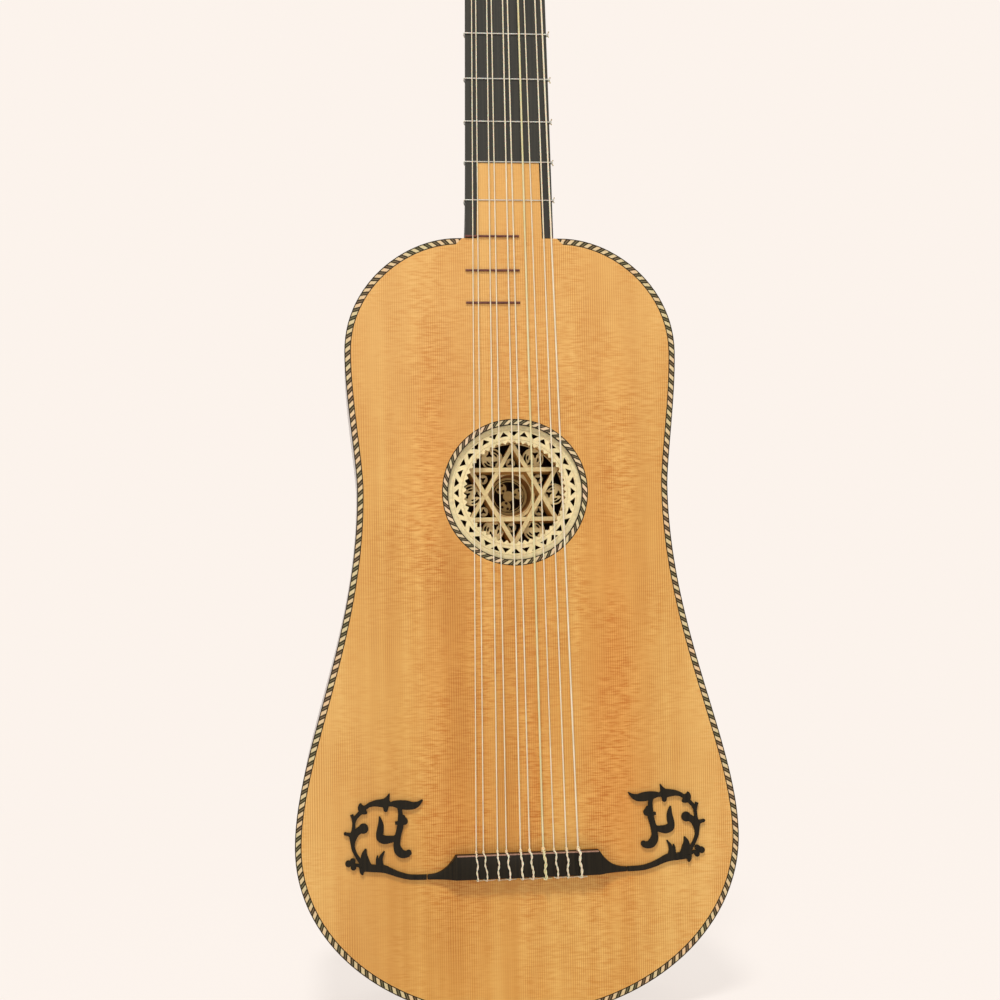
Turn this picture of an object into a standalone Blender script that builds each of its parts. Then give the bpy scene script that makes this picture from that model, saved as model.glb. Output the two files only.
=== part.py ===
"""A five-course baroque guitar with a tiered parchment rose, as its separate pieces.

Sizes are in metres. The pieces are laid out in a bench frame: X across the belly, Y up the neck from the
tail, Z off the soundboard towards the strings. The bench empty turns that frame upright, so the finished
guitar stands on its tail with the soundboard facing -Y.
"""

import math

import bmesh
import bpy
from mathutils import Matrix, Vector

# Gaps and tolerances
CLEARANCE = 0.0003
WELD = 0.000001

# Body outline: half widths, heights above the tail and how far each curve reaches out of its point
BODY_LENGTH = 0.460
SHOULDER_HALF = 0.0309
SHOULDER_REACH = 0.0322
UPPER_BOUT_HALF = 0.0988
UPPER_BOUT_Y = 0.3919
UPPER_REACH_UP = 0.0400
UPPER_REACH_DOWN = 0.0279
WAIST_HALF = 0.0925
WAIST_Y = 0.3107
WAIST_REACH_UP = 0.0164
WAIST_REACH_DOWN = 0.0856
LOWER_BOUT_HALF = 0.1312
LOWER_BOUT_Y = 0.1033
LOWER_REACH_UP = 0.0538
LOWER_REACH_DOWN = 0.0572
TAIL_REACH = 0.0740

# Body shell
BODY_DEPTH = 0.088
SOUNDBOARD_THICKNESS = 0.0020
BACK_THICKNESS = 0.0025
SIDE_THICKNESS = 0.0020
BINDING_WIDTH = 0.0038
BACK_BINDING_WIDTH = 0.0026
BINDING_GAP_AT_NECK = 0.0020
BINDING_SLANT = 0.0038
LINING_WIDTH = 0.0060
LINING_HEIGHT = 0.0120
NECK_BLOCK_HALF = 0.0450
NECK_BLOCK_DEPTH = 0.0350
TAIL_BLOCK_HALF = 0.0300
TAIL_BLOCK_DEPTH = 0.0200
LINING_SHORT_OF_BLOCK = 0.0030

# Bars under the soundboard and braces inside the back
BAR_WIDTH = 0.0070
BAR_HEIGHT = 0.0140
BAR_END_HEIGHT = 0.0050
BAR_TAPER_LENGTH = 0.0300
BAR_FROM_ROSE = 0.0620
BRACE_WIDTH = 0.0090
BRACE_HEIGHT = 0.0110
BRACE_UPPER_Y = 0.3710
BRACE_LOWER_Y = 0.1650

# Neck, fingerboard, nut and the soundboard's tongue
SCALE_START_Y = 0.0964
STRING_LENGTH = 0.650
NECK_HALF_AT_BODY = 0.0264
NECK_HALF_AT_NUT = 0.0218
NECK_DEPTH_AT_BODY = 0.0205
NECK_DEPTH_AT_NUT = 0.0140
HEEL_DEPTH = 0.0850
HEEL_LENGTH = 0.0700
HEEL_CURVE = 3.5
HEEL_STATIONS = (0, 0.04, 0.10, 0.18, 0.28, 0.42, 0.62)
NECK_ARC_STEPS = 8
FINGERBOARD_THICKNESS = 0.0020
TONGUE_HALF_AT_BODY = 0.0196
TONGUE_HALF_AT_TIP = 0.0185
TONGUE_LENGTH = 0.0453
NUT_LENGTH = 0.0048
NUT_RISE = 0.0030

# Head and pegs
HEAD_ANGLE = math.radians(8)
HEAD_LENGTH = 0.1960
HEAD_THICKNESS = 0.0140
HEAD_FACE_Z = -0.0010
HEAD_HALF_AT_NUT = 0.0235
HEAD_HALF_LOW = 0.0325
HEAD_LOW_AT = 0.0220
HEAD_HALF_HIGH = 0.0375
HEAD_HIGH_AT = 0.1700
PEG_FIRST_AT = 0.0340
PEG_PITCH = 0.0300
PEG_ROW_HALF_NEAR = 0.0235
PEG_ROW_HALF_FAR = 0.0265
PEG_RADIUS_FRONT = 0.0029
PEG_RADIUS_BACK = 0.0039
PEG_FRONT_REACH = 0.0130
PEG_SIDES = 8
PEG_COLLAR_RADIUS = 0.0056
PEG_COLLAR_LENGTH = 0.0040
PEG_STEM_LENGTH = 0.0060
PEG_GRIP_HALF_WIDTH = 0.0100
PEG_GRIP_HALF_LENGTH = 0.0095
PEG_GRIP_HALF_THICKNESS = 0.0030
WINDING_TURNS = 3
WINDING_POINTS = 8
WINDING_GAP = 0.00045
WINDING_TOP = 0.0065
WINDING_LEAD = 0.0030

# Frets
FRET_COUNT = 12
TIED_FRET_FROM_BODY = 0.0120
BODY_FRET_LEFT = -0.0266
BODY_FRET_RIGHT = 0.0057
BODY_FRET_WIDTH = 0.0014
BODY_FRET_HEIGHT = 0.0009
GUT_FRET_RADIUS_FIRST = 0.00045
GUT_FRET_RADIUS_LAST = 0.00032
KNOT_RADIUS = 0.0011

# Bridge and moustaches
BRIDGE_OFFSET = 0.0038
BRIDGE_FRONT_Y = 0.0973
BRIDGE_REAR_Y = 0.0834
BRIDGE_TOP_HALF = 0.0422
BRIDGE_HALF = 0.0588
BRIDGE_HEIGHT = 0.0067
BRIDGE_ARM_HEIGHT = 0.0024
BRIDGE_ARM_FRONT_Y = 0.0866
BRIDGE_ARM_REAR_Y = 0.0838
MOUSTACHE_THICKNESS = 0.0018

# Strings, from the viewer's left to the right: place at the bridge, place at the nut, diameter
STRING_AT_BRIDGE = (-0.02655, -0.0223, -0.01405, -0.00885, -0.00055, 0.0048, 0.01285, 0.0192, 0.02655, 0.0335)
STRING_AT_NUT = (-0.0187, -0.0167, -0.0106, -0.0086, -0.0022, 0.0000, 0.0059, 0.0089, 0.01515, 0.01785)
STRING_DIAMETER = (0.00062, 0.00062, 0.0007, 0.0007, 0.0008, 0.0008, 0.00115, 0.0007, 0.0008, 0.0010)
STRING_HEIGHT_AT_BRIDGE = 0.0042
STRING_HEIGHT_AT_NUT = 0.0022
STRING_BEND = 0.0006
TIE_LEAN = (0.0006, 0.0018, 0.0004, 0.0017, 0.0008, 0.0016, 0.0011, 0.0017, 0.0005, 0.0014)

# Rose, from the outside in and from the top down
ROSE_X = 0.0008
ROSE_Y = 0.3086
ROPE_RING_RADIUS = 0.0435
ROPE_RING_THICKNESS = 0.0008
ROSE_HOLE_RADIUS = 0.0399
PARCHMENT = 0.0009
RIM_FLANGE_RADIUS = 0.0462
RIM_TOOTH_ROOT = 0.0305
RIM_TOOTH_TIP = 0.0289
RIM_TEETH = 52
PIERCINGS = 36
PIERCING_INNER = 0.0335
PIERCING_OUTER = 0.0363
PIERCING_BAR = 0.0008
STAR_SHIFT = (-0.00015, -0.0010)
STAR_WALL_INNER = 0.0306
STAR_WALL_OUTER = 0.0314
STAR_LEDGE_RADIUS = 0.0300
STAR_POINTS = 6
STAR_LINE_RADIUS = 0.0148
STAR_BAR_WIDTH = 0.0021
STAR_BAR_TOP = 0.0085
STAR_BAR_BOTTOM = 0.0170
STAR_BAR_STEP = 0.0003
ROUNDEL_DEPTH = 0.0115
ROUNDEL_AT = 0.0247
ROUNDEL_RADIUS = 0.0065
OUTER_SLOT_RADIUS = 0.0053
INNER_SLOT_RADIUS = 0.0032
ROUNDEL_SLOT_WIDTH = 0.0009
ROUNDEL_SLOT_REACH = math.radians(42)
ROUNDEL_TREFOIL_AT = 0.0030
TREFOIL_RADIUS = 0.0017
INNER_RING_DEPTH = 0.0122
INNER_RING_OUTER = 0.0150
INNER_RING_INNER = 0.0125
POINT_RING_DEPTH = 0.0160
POINT_RING_AT = 0.0193
POINT_RING_RADIUS = 0.0038
POINT_TREFOIL_RADIUS = 0.0018
WELL_DEPTH = 0.0280
WELL_TOP_OUTER = 0.0134
WELL_TOP_INNER = 0.0125
WELL_FLOOR_OUTER = 0.0122
WELL_LEDGE_RADIUS = 0.0100
WELL_LOBES = 3
WELL_TURN = math.radians(13)
WELL_LOBE_AT = 0.0064
WELL_LOBE_RADIUS = 0.0039
WELL_HUB_RADIUS = 0.0036
WELL_HOLE_AT = 0.0020
WELL_HOLE_RADIUS = 0.0009

# Sizes that follow from those above
TOP_OF_SHELL = -SOUNDBOARD_THICKNESS - CLEARANCE
INSIDE_OF_BACK = -BODY_DEPTH + BACK_THICKNESS + CLEARANCE
INSIDE_INSET = SIDE_THICKNESS + CLEARANCE
NUT_Y = SCALE_START_Y + STRING_LENGTH
NECK_START = BODY_LENGTH + CLEARANCE
NECK_END = NUT_Y + NUT_LENGTH
NECK_TOP = -FINGERBOARD_THICKNESS - CLEARANCE
HEAD_START = NECK_END + CLEARANCE / math.cos(HEAD_ANGLE) + (HEAD_FACE_Z - NECK_TOP) * math.tan(HEAD_ANGLE)
THICKEST_STRING = max(STRING_DIAMETER)
FRONT_REACH = BRIDGE_HEIGHT + 2 * CLEARANCE + THICKEST_STRING
MID_DEPTH = (FRONT_REACH - BODY_DEPTH) / 2
RIM_TOP = TOP_OF_SHELL
RIM_BOTTOM = RIM_TOP - PARCHMENT
WELL_ROOF = -INNER_RING_DEPTH - PARCHMENT
STAR_PLACE = (ROSE_X + STAR_SHIFT[0], ROSE_Y + STAR_SHIFT[1], 0)


# Scene, collections and materials


def clear_scene():
    for old in list(bpy.data.objects):
        bpy.data.objects.remove(old, do_unlink=True)


def new_collection(name):
    found = bpy.data.collections.new(name)
    bpy.context.scene.collection.children.link(found)
    return found


def new_material(name, colour, roughness, metallic=0.0):
    made = bpy.data.materials.new(name)
    made.use_nodes = True
    shader = made.node_tree.nodes["Principled BSDF"]
    shader.inputs["Base Color"].default_value = (*colour, 1)
    shader.inputs["Roughness"].default_value = roughness
    shader.inputs["Metallic"].default_value = metallic
    return made


clear_scene()
PARTS = new_collection("baroque_guitar")
TOOLS = new_collection("cutters")

SPRUCE = new_material("spruce", (0.78, 0.50, 0.22), 0.45)
RIB_WOOD = new_material("rib_wood", (0.30, 0.13, 0.05), 0.35)
INSIDE_WOOD = new_material("inside_wood", (0.62, 0.45, 0.27), 0.7)
EBONY = new_material("ebony", (0.02, 0.018, 0.017), 0.35)
ROPE_INLAY = new_material("rope_inlay", (0.45, 0.44, 0.36), 0.4)
PARCHMENT_CREAM = new_material("parchment", (0.75, 0.68, 0.45), 0.6)
BONE = new_material("bone", (0.83, 0.79, 0.68), 0.35)
GUT = new_material("gut", (0.80, 0.76, 0.62), 0.4)
FRET_WOOD = new_material("fret_wood", (0.12, 0.045, 0.03), 0.4)

BENCH = bpy.data.objects.new("bench", None)
BENCH.rotation_euler = (math.radians(90), 0, 0)
BENCH.location = (0, MID_DEPTH, 0)
PARTS.objects.link(BENCH)

HEAD_FRAME = bpy.data.objects.new("head_frame", None)
HEAD_FRAME.parent = BENCH
HEAD_FRAME.location = (0, HEAD_START, HEAD_FACE_Z)
HEAD_FRAME.rotation_euler = (-HEAD_ANGLE, 0, 0)
PARTS.objects.link(HEAD_FRAME)


# Making shapes


def add_part(name, data, material, parent=BENCH, location=(0, 0, 0)):
    """One named piece of the guitar."""
    data.materials.append(material)
    piece = bpy.data.objects.new(name, data)
    piece.parent = parent
    piece.location = location
    PARTS.objects.link(piece)
    return piece


def add_tool(name, mesh, parent=BENCH, location=(0, 0, 0)):
    """A shape that only cuts or joins a piece."""
    tool = bpy.data.objects.new(name, mesh)
    tool.parent = parent
    tool.location = location
    tool.hide_render = True
    tool.display_type = "WIRE"
    TOOLS.objects.link(tool)
    return tool


def boolean(piece, tool, operation):
    step = piece.modifiers.new(tool.name, "BOOLEAN")
    step.operation = operation
    step.solver = "EXACT"
    step.use_self = operation == "UNION"
    step.object = tool


def smooth(mesh, angle=35):
    mesh.shade_smooth()
    mesh.set_sharp_from_angle(angle=math.radians(angle))
    return mesh


def evaluated_mesh(helper, name):
    """The helper object's evaluated surface as a closed mesh, with the helper removed."""
    graph = bpy.context.evaluated_depsgraph_get()
    mesh = bpy.data.meshes.new_from_object(helper.evaluated_get(graph))
    mesh.name = name
    bpy.data.objects.remove(helper, do_unlink=True)
    shape = bmesh.new()
    shape.from_mesh(mesh)
    bmesh.ops.remove_doubles(shape, verts=shape.verts, dist=WELD)
    bmesh.ops.recalc_face_normals(shape, faces=shape.faces)
    shape.to_mesh(mesh)
    shape.free()
    return mesh


def helper_object(data):
    helper = bpy.data.objects.new("helper", data)
    bpy.context.scene.collection.objects.link(helper)
    return helper


def plate(name, loops, low, high):
    """A flat piece between two heights: its outer loop, then the loops of its holes."""
    curve = bpy.data.curves.new(name, "CURVE")
    curve.dimensions = "2D"
    curve.fill_mode = "BOTH"
    curve.extrude = (high - low) / 2
    for loop in loops:
        spline = curve.splines.new("POLY")
        spline.points.add(len(loop) - 1)
        for point, place in zip(spline.points, loop):
            point.co = (place[0], place[1], 0, 1)
        spline.use_cyclic_u = True
    mesh = evaluated_mesh(helper_object(curve), name)
    mesh.transform(Matrix.Translation((0, 0, (low + high) / 2)))
    return mesh


def upright_plate(name, loop, near, far):
    """A profile drawn in X and Z, standing between two places along Y."""
    mesh = plate(name, [loop], -far, -near)
    mesh.transform(Matrix.Rotation(math.radians(90), 4, "X"))
    return mesh


def tube(name, points, radius, closed=False):
    """A round wire along straight runs between points."""
    curve = bpy.data.curves.new(name, "CURVE")
    curve.dimensions = "3D"
    curve.bevel_depth = radius
    curve.bevel_resolution = 1
    curve.use_fill_caps = True
    spline = curve.splines.new("POLY")
    spline.points.add(len(points) - 1)
    for point, place in zip(spline.points, points):
        point.co = (*place, 1)
    spline.use_cyclic_u = closed
    return curve


def turned(name, profile, steps, closed=False):
    """A profile of radius and height turned round the Z axis."""
    mesh = bpy.data.meshes.new(name)
    count = len(profile)
    edges = [(index, index + 1) for index in range(count - 1)]
    if closed:
        edges.append((count - 1, 0))
    mesh.from_pydata([(radius, 0, height) for radius, height in profile], edges, [])
    helper = helper_object(mesh)
    screw = helper.modifiers.new("turn", "SCREW")
    screw.axis = "Z"
    screw.steps = steps
    screw.render_steps = steps
    screw.use_merge_vertices = True
    screw.merge_threshold = WELD
    return evaluated_mesh(helper, name)


def together(name, meshes):
    """Several closed shapes in one mesh, for a union to join."""
    shape = bmesh.new()
    for mesh in meshes:
        shape.from_mesh(mesh)
    mesh = bpy.data.meshes.new(name)
    shape.to_mesh(mesh)
    shape.free()
    return mesh


def circle(centre, radius, count, turn=0.0):
    places = []
    for index in range(count):
        angle = turn + math.tau * index / count
        places.append((centre[0] + radius * math.cos(angle), centre[1] + radius * math.sin(angle)))
    return places


def polar(radius, angle, centre=(0.0, 0.0)):
    return (centre[0] + radius * math.cos(angle), centre[1] + radius * math.sin(angle))


def mirrored(loop):
    return [(-place[0], place[1]) for place in reversed(loop)]


def both_halves(half):
    """A right half that ends on the middle line, then its mirror image back up."""
    return half + mirrored(half)[1:]


# Body outline


def bezier(start, first, second, end, steps):
    """Points along a cubic curve, without its last one."""
    points = []
    for step in range(steps):
        t = step / steps
        s = 1 - t
        points.append(s**3 * start + 3 * s * s * t * first + 3 * s * t * t * second + t**3 * end)
    return points


def outline_half(start_x):
    """The right half of the body's edge, from start_x on the neck joint round to the tail."""
    joint = Vector((SHOULDER_HALF, BODY_LENGTH))
    upper = Vector((UPPER_BOUT_HALF, UPPER_BOUT_Y))
    waist = Vector((WAIST_HALF, WAIST_Y))
    lower = Vector((LOWER_BOUT_HALF, LOWER_BOUT_Y))
    tail = Vector((0, 0))
    across = Vector((1, 0))
    along = Vector((0, 1))
    path = [Vector((start_x, BODY_LENGTH))]
    path += bezier(joint, joint + SHOULDER_REACH * across, upper + UPPER_REACH_UP * along, upper, 8)
    path += bezier(upper, upper - UPPER_REACH_DOWN * along, waist + WAIST_REACH_UP * along, waist, 4)
    path += bezier(waist, waist - WAIST_REACH_DOWN * along, lower + LOWER_REACH_UP * along, lower, 6)
    path += bezier(lower, lower - LOWER_REACH_DOWN * along, tail + TAIL_REACH * across, tail, 9)
    path.append(tail)
    return path


def inset(path, distance):
    """The path moved inwards, square to itself, with both ends level."""
    moved = []
    last = len(path) - 1
    for index, point in enumerate(path):
        if index in (0, last):
            inward = Vector((0, -1 if index == 0 else 1))
        else:
            run = (path[index + 1] - path[index - 1]).normalized()
            inward = Vector((run.y, -run.x))
        moved.append(point + distance * inward)
    return moved


def half_width_at(height, distance):
    """How far the body's inside reaches from the middle at a height above the tail."""
    path = inset(outline_half(0), distance)
    for upper, lower in zip(path, path[1:]):
        if lower.y <= height < upper.y and upper.y - lower.y > WELD:
            share = (height - lower.y) / (upper.y - lower.y)
            return lower.x + share * (upper.x - lower.x)
    return 0.0


def strip_halves(start_x, outer, inner, slant=0.0, end_x=0.0):
    """The outer and the inner edge of the right half of a strip that follows the body's edge."""
    path = outline_half(start_x)
    outside = inset(path, outer)
    inside = inset(path, inner)
    inside[0].x += slant
    inside = inside[:1] + [place for place in inside[1:] if place.x > inside[0].x or place.y < ROSE_Y]
    if end_x > 0:
        outside[-1].x = end_x
        inside[-1].x = end_x
    return [tuple(place) for place in outside], [tuple(place) for place in inside]


def neck_half_at(height):
    share = (height - BODY_LENGTH) / (NUT_Y - BODY_LENGTH)
    return NECK_HALF_AT_BODY + share * (NECK_HALF_AT_NUT - NECK_HALF_AT_BODY)


# Soundboard, back, sides and their edges


def make_soundboard():
    inner = inset(outline_half(NECK_HALF_AT_BODY + BINDING_GAP_AT_NECK), BINDING_WIDTH + CLEARANCE)
    start_x = NECK_HALF_AT_BODY + BINDING_GAP_AT_NECK - CLEARANCE
    half = [
        (TONGUE_HALF_AT_TIP, BODY_LENGTH + TONGUE_LENGTH),
        (TONGUE_HALF_AT_BODY, BODY_LENGTH),
        (start_x, BODY_LENGTH),
        (start_x + BINDING_SLANT, inner[0].y),
    ]
    half += [tuple(place) for place in inner if place.x > start_x + BINDING_SLANT or place.y < ROSE_Y]
    outer = both_halves(half)
    hole = circle((ROSE_X, ROSE_Y), ROSE_HOLE_RADIUS, 36)
    board = add_part(
        "soundboard", plate("soundboard", [outer, hole], -SOUNDBOARD_THICKNESS, 0), SPRUCE
    )
    rebate = plate(
        "rope_ring_rebate",
        [circle((0, 0), ROPE_RING_RADIUS + CLEARANCE, 36)],
        -ROPE_RING_THICKNESS - CLEARANCE,
        SOUNDBOARD_THICKNESS,
    )
    boolean(board, add_tool("rope_ring_rebate", rebate, location=(ROSE_X, ROSE_Y, 0)), "DIFFERENCE")


def make_binding(name, width, start_x, low, high, material):
    """One strip right round the edge, cut at a slant where it meets the neck."""
    outside, inside = strip_halves(start_x, 0, width, slant=BINDING_SLANT)
    loop = both_halves(outside) + both_halves(inside)[::-1]
    add_part(name, plate(name, [loop], low, high), material)


def make_back():
    inner = inset(outline_half(0), BACK_BINDING_WIDTH + CLEARANCE)
    half = [tuple(place) for place in inner]
    half[0] = (CLEARANCE / 2, half[0][1])
    half[-1] = (CLEARANCE / 2, half[-1][1])
    for name, loop in (("back_plate_right", half), ("back_plate_left", mirrored(half))):
        mesh = plate(name, [loop], -BODY_DEPTH, -BODY_DEPTH + BACK_THICKNESS)
        add_part(name, mesh, RIB_WOOD)


def make_sides():
    outside, inside = strip_halves(CLEARANCE / 2, 0, SIDE_THICKNESS, end_x=CLEARANCE / 2)
    loop = outside + inside[::-1]
    for name, shape in (("side_right", loop), ("side_left", mirrored(loop))):
        mesh = plate(name, [shape], INSIDE_OF_BACK, TOP_OF_SHELL)
        add_part(name, smooth(mesh), RIB_WOOD)


def make_linings():
    outside = inset(outline_half(0), INSIDE_INSET)
    inside = inset(outline_half(0), INSIDE_INSET + LINING_WIDTH)
    upper = NECK_BLOCK_HALF + LINING_SHORT_OF_BLOCK
    lower = TAIL_BLOCK_HALF + LINING_SHORT_OF_BLOCK
    kept = []
    for index, place in enumerate(outside):
        limit = upper if place.y > ROSE_Y else lower
        if place.x > limit:
            kept.append(index)
    loop = [tuple(outside[index]) for index in kept]
    loop += [tuple(inside[index]) for index in reversed(kept)]
    levels = {
        "top_lining": (TOP_OF_SHELL - LINING_HEIGHT, TOP_OF_SHELL),
        "back_lining": (INSIDE_OF_BACK, INSIDE_OF_BACK + LINING_HEIGHT),
    }
    for name, (low, high) in levels.items():
        add_part(name + "_right", plate(name, [loop], low, high), INSIDE_WOOD)
        add_part(name + "_left", plate(name, [mirrored(loop)], low, high), INSIDE_WOOD)


def block_loop(inner, depth_y):
    """A block's plan: one face follows the inside of the sides, the other runs straight across."""
    half = [(inner[-1][0], depth_y)] + inner[::-1]
    return half + mirrored(half)


def make_blocks():
    inner = inset(outline_half(0), INSIDE_INSET)
    at_neck = [tuple(place) for place in inner if 0 < place.x < NECK_BLOCK_HALF and place.y > ROSE_Y]
    at_tail = [tuple(place) for place in inner if 0 < place.x < TAIL_BLOCK_HALF and place.y < ROSE_Y]
    loops = {
        "neck_block": block_loop(at_neck, BODY_LENGTH - NECK_BLOCK_DEPTH),
        "tail_block": block_loop(at_tail[::-1], TAIL_BLOCK_DEPTH),
    }
    for name, loop in loops.items():
        add_part(name, plate(name, [loop], INSIDE_OF_BACK, TOP_OF_SHELL), INSIDE_WOOD)


def bar_profile(reach, height, end_height, foot):
    """A bar seen along the neck: full height in the middle, falling to thin ends."""
    sign = -1 if foot < -BODY_DEPTH / 2 else 1
    drop = [
        (-reach, foot),
        (reach, foot),
        (reach, foot - sign * end_height),
        (reach - BAR_TAPER_LENGTH, foot - sign * height),
        (-reach + BAR_TAPER_LENGTH, foot - sign * height),
        (-reach, foot - sign * end_height),
    ]
    return drop


def make_bars():
    bars = {
        "top_bar_upper": (ROSE_Y + BAR_FROM_ROSE, BAR_WIDTH, BAR_HEIGHT, TOP_OF_SHELL),
        "top_bar_lower": (ROSE_Y - BAR_FROM_ROSE, BAR_WIDTH, BAR_HEIGHT, TOP_OF_SHELL),
        "back_brace_upper": (BRACE_UPPER_Y, BRACE_WIDTH, BRACE_HEIGHT, INSIDE_OF_BACK),
        "back_brace_lower": (BRACE_LOWER_Y, BRACE_WIDTH, BRACE_HEIGHT, INSIDE_OF_BACK),
    }
    inside = INSIDE_INSET + LINING_WIDTH + CLEARANCE
    for name, (middle, width, height, foot) in bars.items():
        near = middle - width / 2
        far = middle + width / 2
        reach = min(half_width_at(near, inside), half_width_at(far, inside), half_width_at(middle, inside))
        mesh = upright_plate(name, bar_profile(reach, height, BAR_END_HEIGHT, foot), near, far)
        add_part(name, mesh, INSIDE_WOOD)


# Neck, fingerboard, nut and head


def neck_sections():
    """Heights and depths under the fingerboard, down the heel's curve and along the plain neck."""
    sections = []
    for share in HEEL_STATIONS + (1, 2.4):
        height = NECK_START + HEEL_LENGTH * share
        sections.append((height, max(0.0, 1 - share)))
    sections.append((NECK_END, 0.0))
    depths = []
    for height, rise in sections:
        along = (height - BODY_LENGTH) / (NECK_END - BODY_LENGTH)
        plain = NECK_DEPTH_AT_BODY + along * (NECK_DEPTH_AT_NUT - NECK_DEPTH_AT_BODY)
        depths.append((height, plain + (HEEL_DEPTH - NECK_DEPTH_AT_BODY) * rise**HEEL_CURVE))
    return depths


def neck_depth_at(height):
    sections = neck_sections()
    for (low, depth), (high, next_depth) in zip(sections, sections[1:]):
        if height <= high:
            share = (height - low) / (high - low)
            return depth + share * (next_depth - depth)
    return sections[-1][1]


def neck_arc(height, swell=0.0):
    """The round of the neck at a height, from its right edge under to its left edge."""
    half = neck_half_at(height) + swell
    depth = neck_depth_at(height - swell) + swell
    places = []
    for index in range(NECK_ARC_STEPS + 1):
        angle = math.pi * index / NECK_ARC_STEPS
        places.append((half * math.cos(angle), NECK_TOP - depth * math.sin(angle)))
    return places


def make_neck():
    """The neck is lofted through its sections; its last one leans to meet the head."""
    shape = bmesh.new()
    rings = []
    for height, depth in neck_sections():
        lean = math.tan(HEAD_ANGLE) if height == NECK_END else 0
        ring = []
        for x, z in neck_arc(height):
            ring.append(shape.verts.new((x, height + lean * (z - NECK_TOP), z)))
        rings.append(ring)
    for ring, following in zip(rings, rings[1:]):
        count = len(ring)
        for index in range(count):
            after = (index + 1) % count
            shape.faces.new((ring[index], ring[after], following[after], following[index]))
    shape.faces.new(rings[0])
    shape.faces.new(rings[-1])
    bmesh.ops.recalc_face_normals(shape, faces=shape.faces)
    mesh = bpy.data.meshes.new("neck")
    shape.to_mesh(mesh)
    shape.free()
    add_part("neck", smooth(mesh), EBONY)


def make_fingerboard():
    """A plate as wide as the neck, with two rails down both sides of the soundboard's tongue."""
    tip = BODY_LENGTH + TONGUE_LENGTH + CLEARANCE
    half = [
        (TONGUE_HALF_AT_TIP + CLEARANCE, tip),
        (TONGUE_HALF_AT_BODY + CLEARANCE, NECK_START),
        (neck_half_at(NECK_START), NECK_START),
        (neck_half_at(NUT_Y), NUT_Y - CLEARANCE),
    ]
    mesh = plate("fingerboard", [half + mirrored(half)], -FINGERBOARD_THICKNESS, 0)
    add_part("fingerboard", mesh, EBONY)


def make_nut():
    """The nut's top has one slot for each string."""
    half = neck_half_at(NUT_Y)
    slot_sides = []
    for x, diameter in reversed(list(zip(STRING_AT_NUT, STRING_DIAMETER))):
        reach = diameter / 2 + CLEARANCE
        floor = STRING_HEIGHT_AT_NUT - reach
        slot_sides += [
            (x + reach, NUT_RISE),
            (x + reach, floor),
            (x - reach, floor),
            (x - reach, NUT_RISE),
        ]
    loop = [(-half, NECK_TOP + CLEARANCE), (half, NECK_TOP + CLEARANCE), (half, NUT_RISE)]
    loop += slot_sides + [(-half, NUT_RISE)]
    add_part("nut", upright_plate("nut", loop, NUT_Y, NECK_END), BONE)


def head_outline():
    """The right half of the head's face: a quick flare, a long taper, an ear, a notch and a crown."""
    points = []
    corners = (
        ((HEAD_HALF_AT_NUT, 0), (0, 0.35), (-0.30, -0.55), (HEAD_HALF_LOW, HEAD_LOW_AT), 4),
        ((HEAD_HALF_LOW, HEAD_LOW_AT), (0, 0.3), (0, -0.3), (HEAD_HALF_HIGH, HEAD_HIGH_AT), 2),
        ((HEAD_HALF_HIGH, HEAD_HIGH_AT), (0.3, 0.9), (0.7, 0.5), (0.0245, HEAD_LENGTH - 0.0140), 6),
        ((0.0245, HEAD_LENGTH - 0.0140), (0.1, 0.6), (0.75, 0), (0, HEAD_LENGTH), 6),
    )
    for start, leave, arrive, end, steps in corners:
        start = Vector(start)
        end = Vector(end)
        span = (end - start).length
        points += bezier(start, start + span * Vector(leave), end + span * Vector(arrive), end, steps)
    points.append(Vector((0, HEAD_LENGTH)))
    return [tuple(place) for place in points]


def peg_places():
    """Where each string's peg goes through the head: across it and up it."""
    places = []
    for index in range(len(STRING_AT_NUT)):
        side = -1 if index < 5 else 1
        rank = index if index < 5 else 9 - index
        at = PEG_FIRST_AT + rank * PEG_PITCH
        half = PEG_ROW_HALF_NEAR + (PEG_ROW_HALF_FAR - PEG_ROW_HALF_NEAR) * rank / 4
        places.append(Vector((side * half, at)))
    return places


def make_head():
    half = head_outline()
    holes = []
    hole_radius = (PEG_RADIUS_BACK + CLEARANCE) / math.cos(math.pi / PEG_SIDES)
    for place in peg_places():
        holes.append(circle(place, hole_radius, PEG_SIDES))
    mesh = plate("head", [both_halves(half)] + holes, -HEAD_THICKNESS, 0)
    add_part("head", mesh, EBONY, parent=HEAD_FRAME)


# Strings, pegs and frets


def head_point(x, at, rise):
    """A place on the head in the bench frame: across it, up it and off its face."""
    cosine = math.cos(HEAD_ANGLE)
    sine = math.sin(HEAD_ANGLE)
    return Vector((x, HEAD_START + at * cosine + rise * sine, HEAD_FACE_Z - at * sine + rise * cosine))


def winding_radius(index):
    return PEG_RADIUS_FRONT + STRING_DIAMETER[index] / 2 + CLEARANCE


def string_meets_peg(index):
    """The place beside the peg where the string first touches its winding, and the string's run to it."""
    peg = peg_places()[index]
    slot = Vector((STRING_AT_NUT[index], 0))
    radius = winding_radius(index)
    reach = slot - peg
    inner_side = -1 if peg.x < 0 else 1
    opening = math.acos(radius / reach.length)
    angle = math.atan2(reach.y, reach.x) - inner_side * opening
    touch = peg + radius * Vector((math.cos(angle), math.sin(angle)))
    return peg, touch, (touch - slot).normalized()


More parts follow.
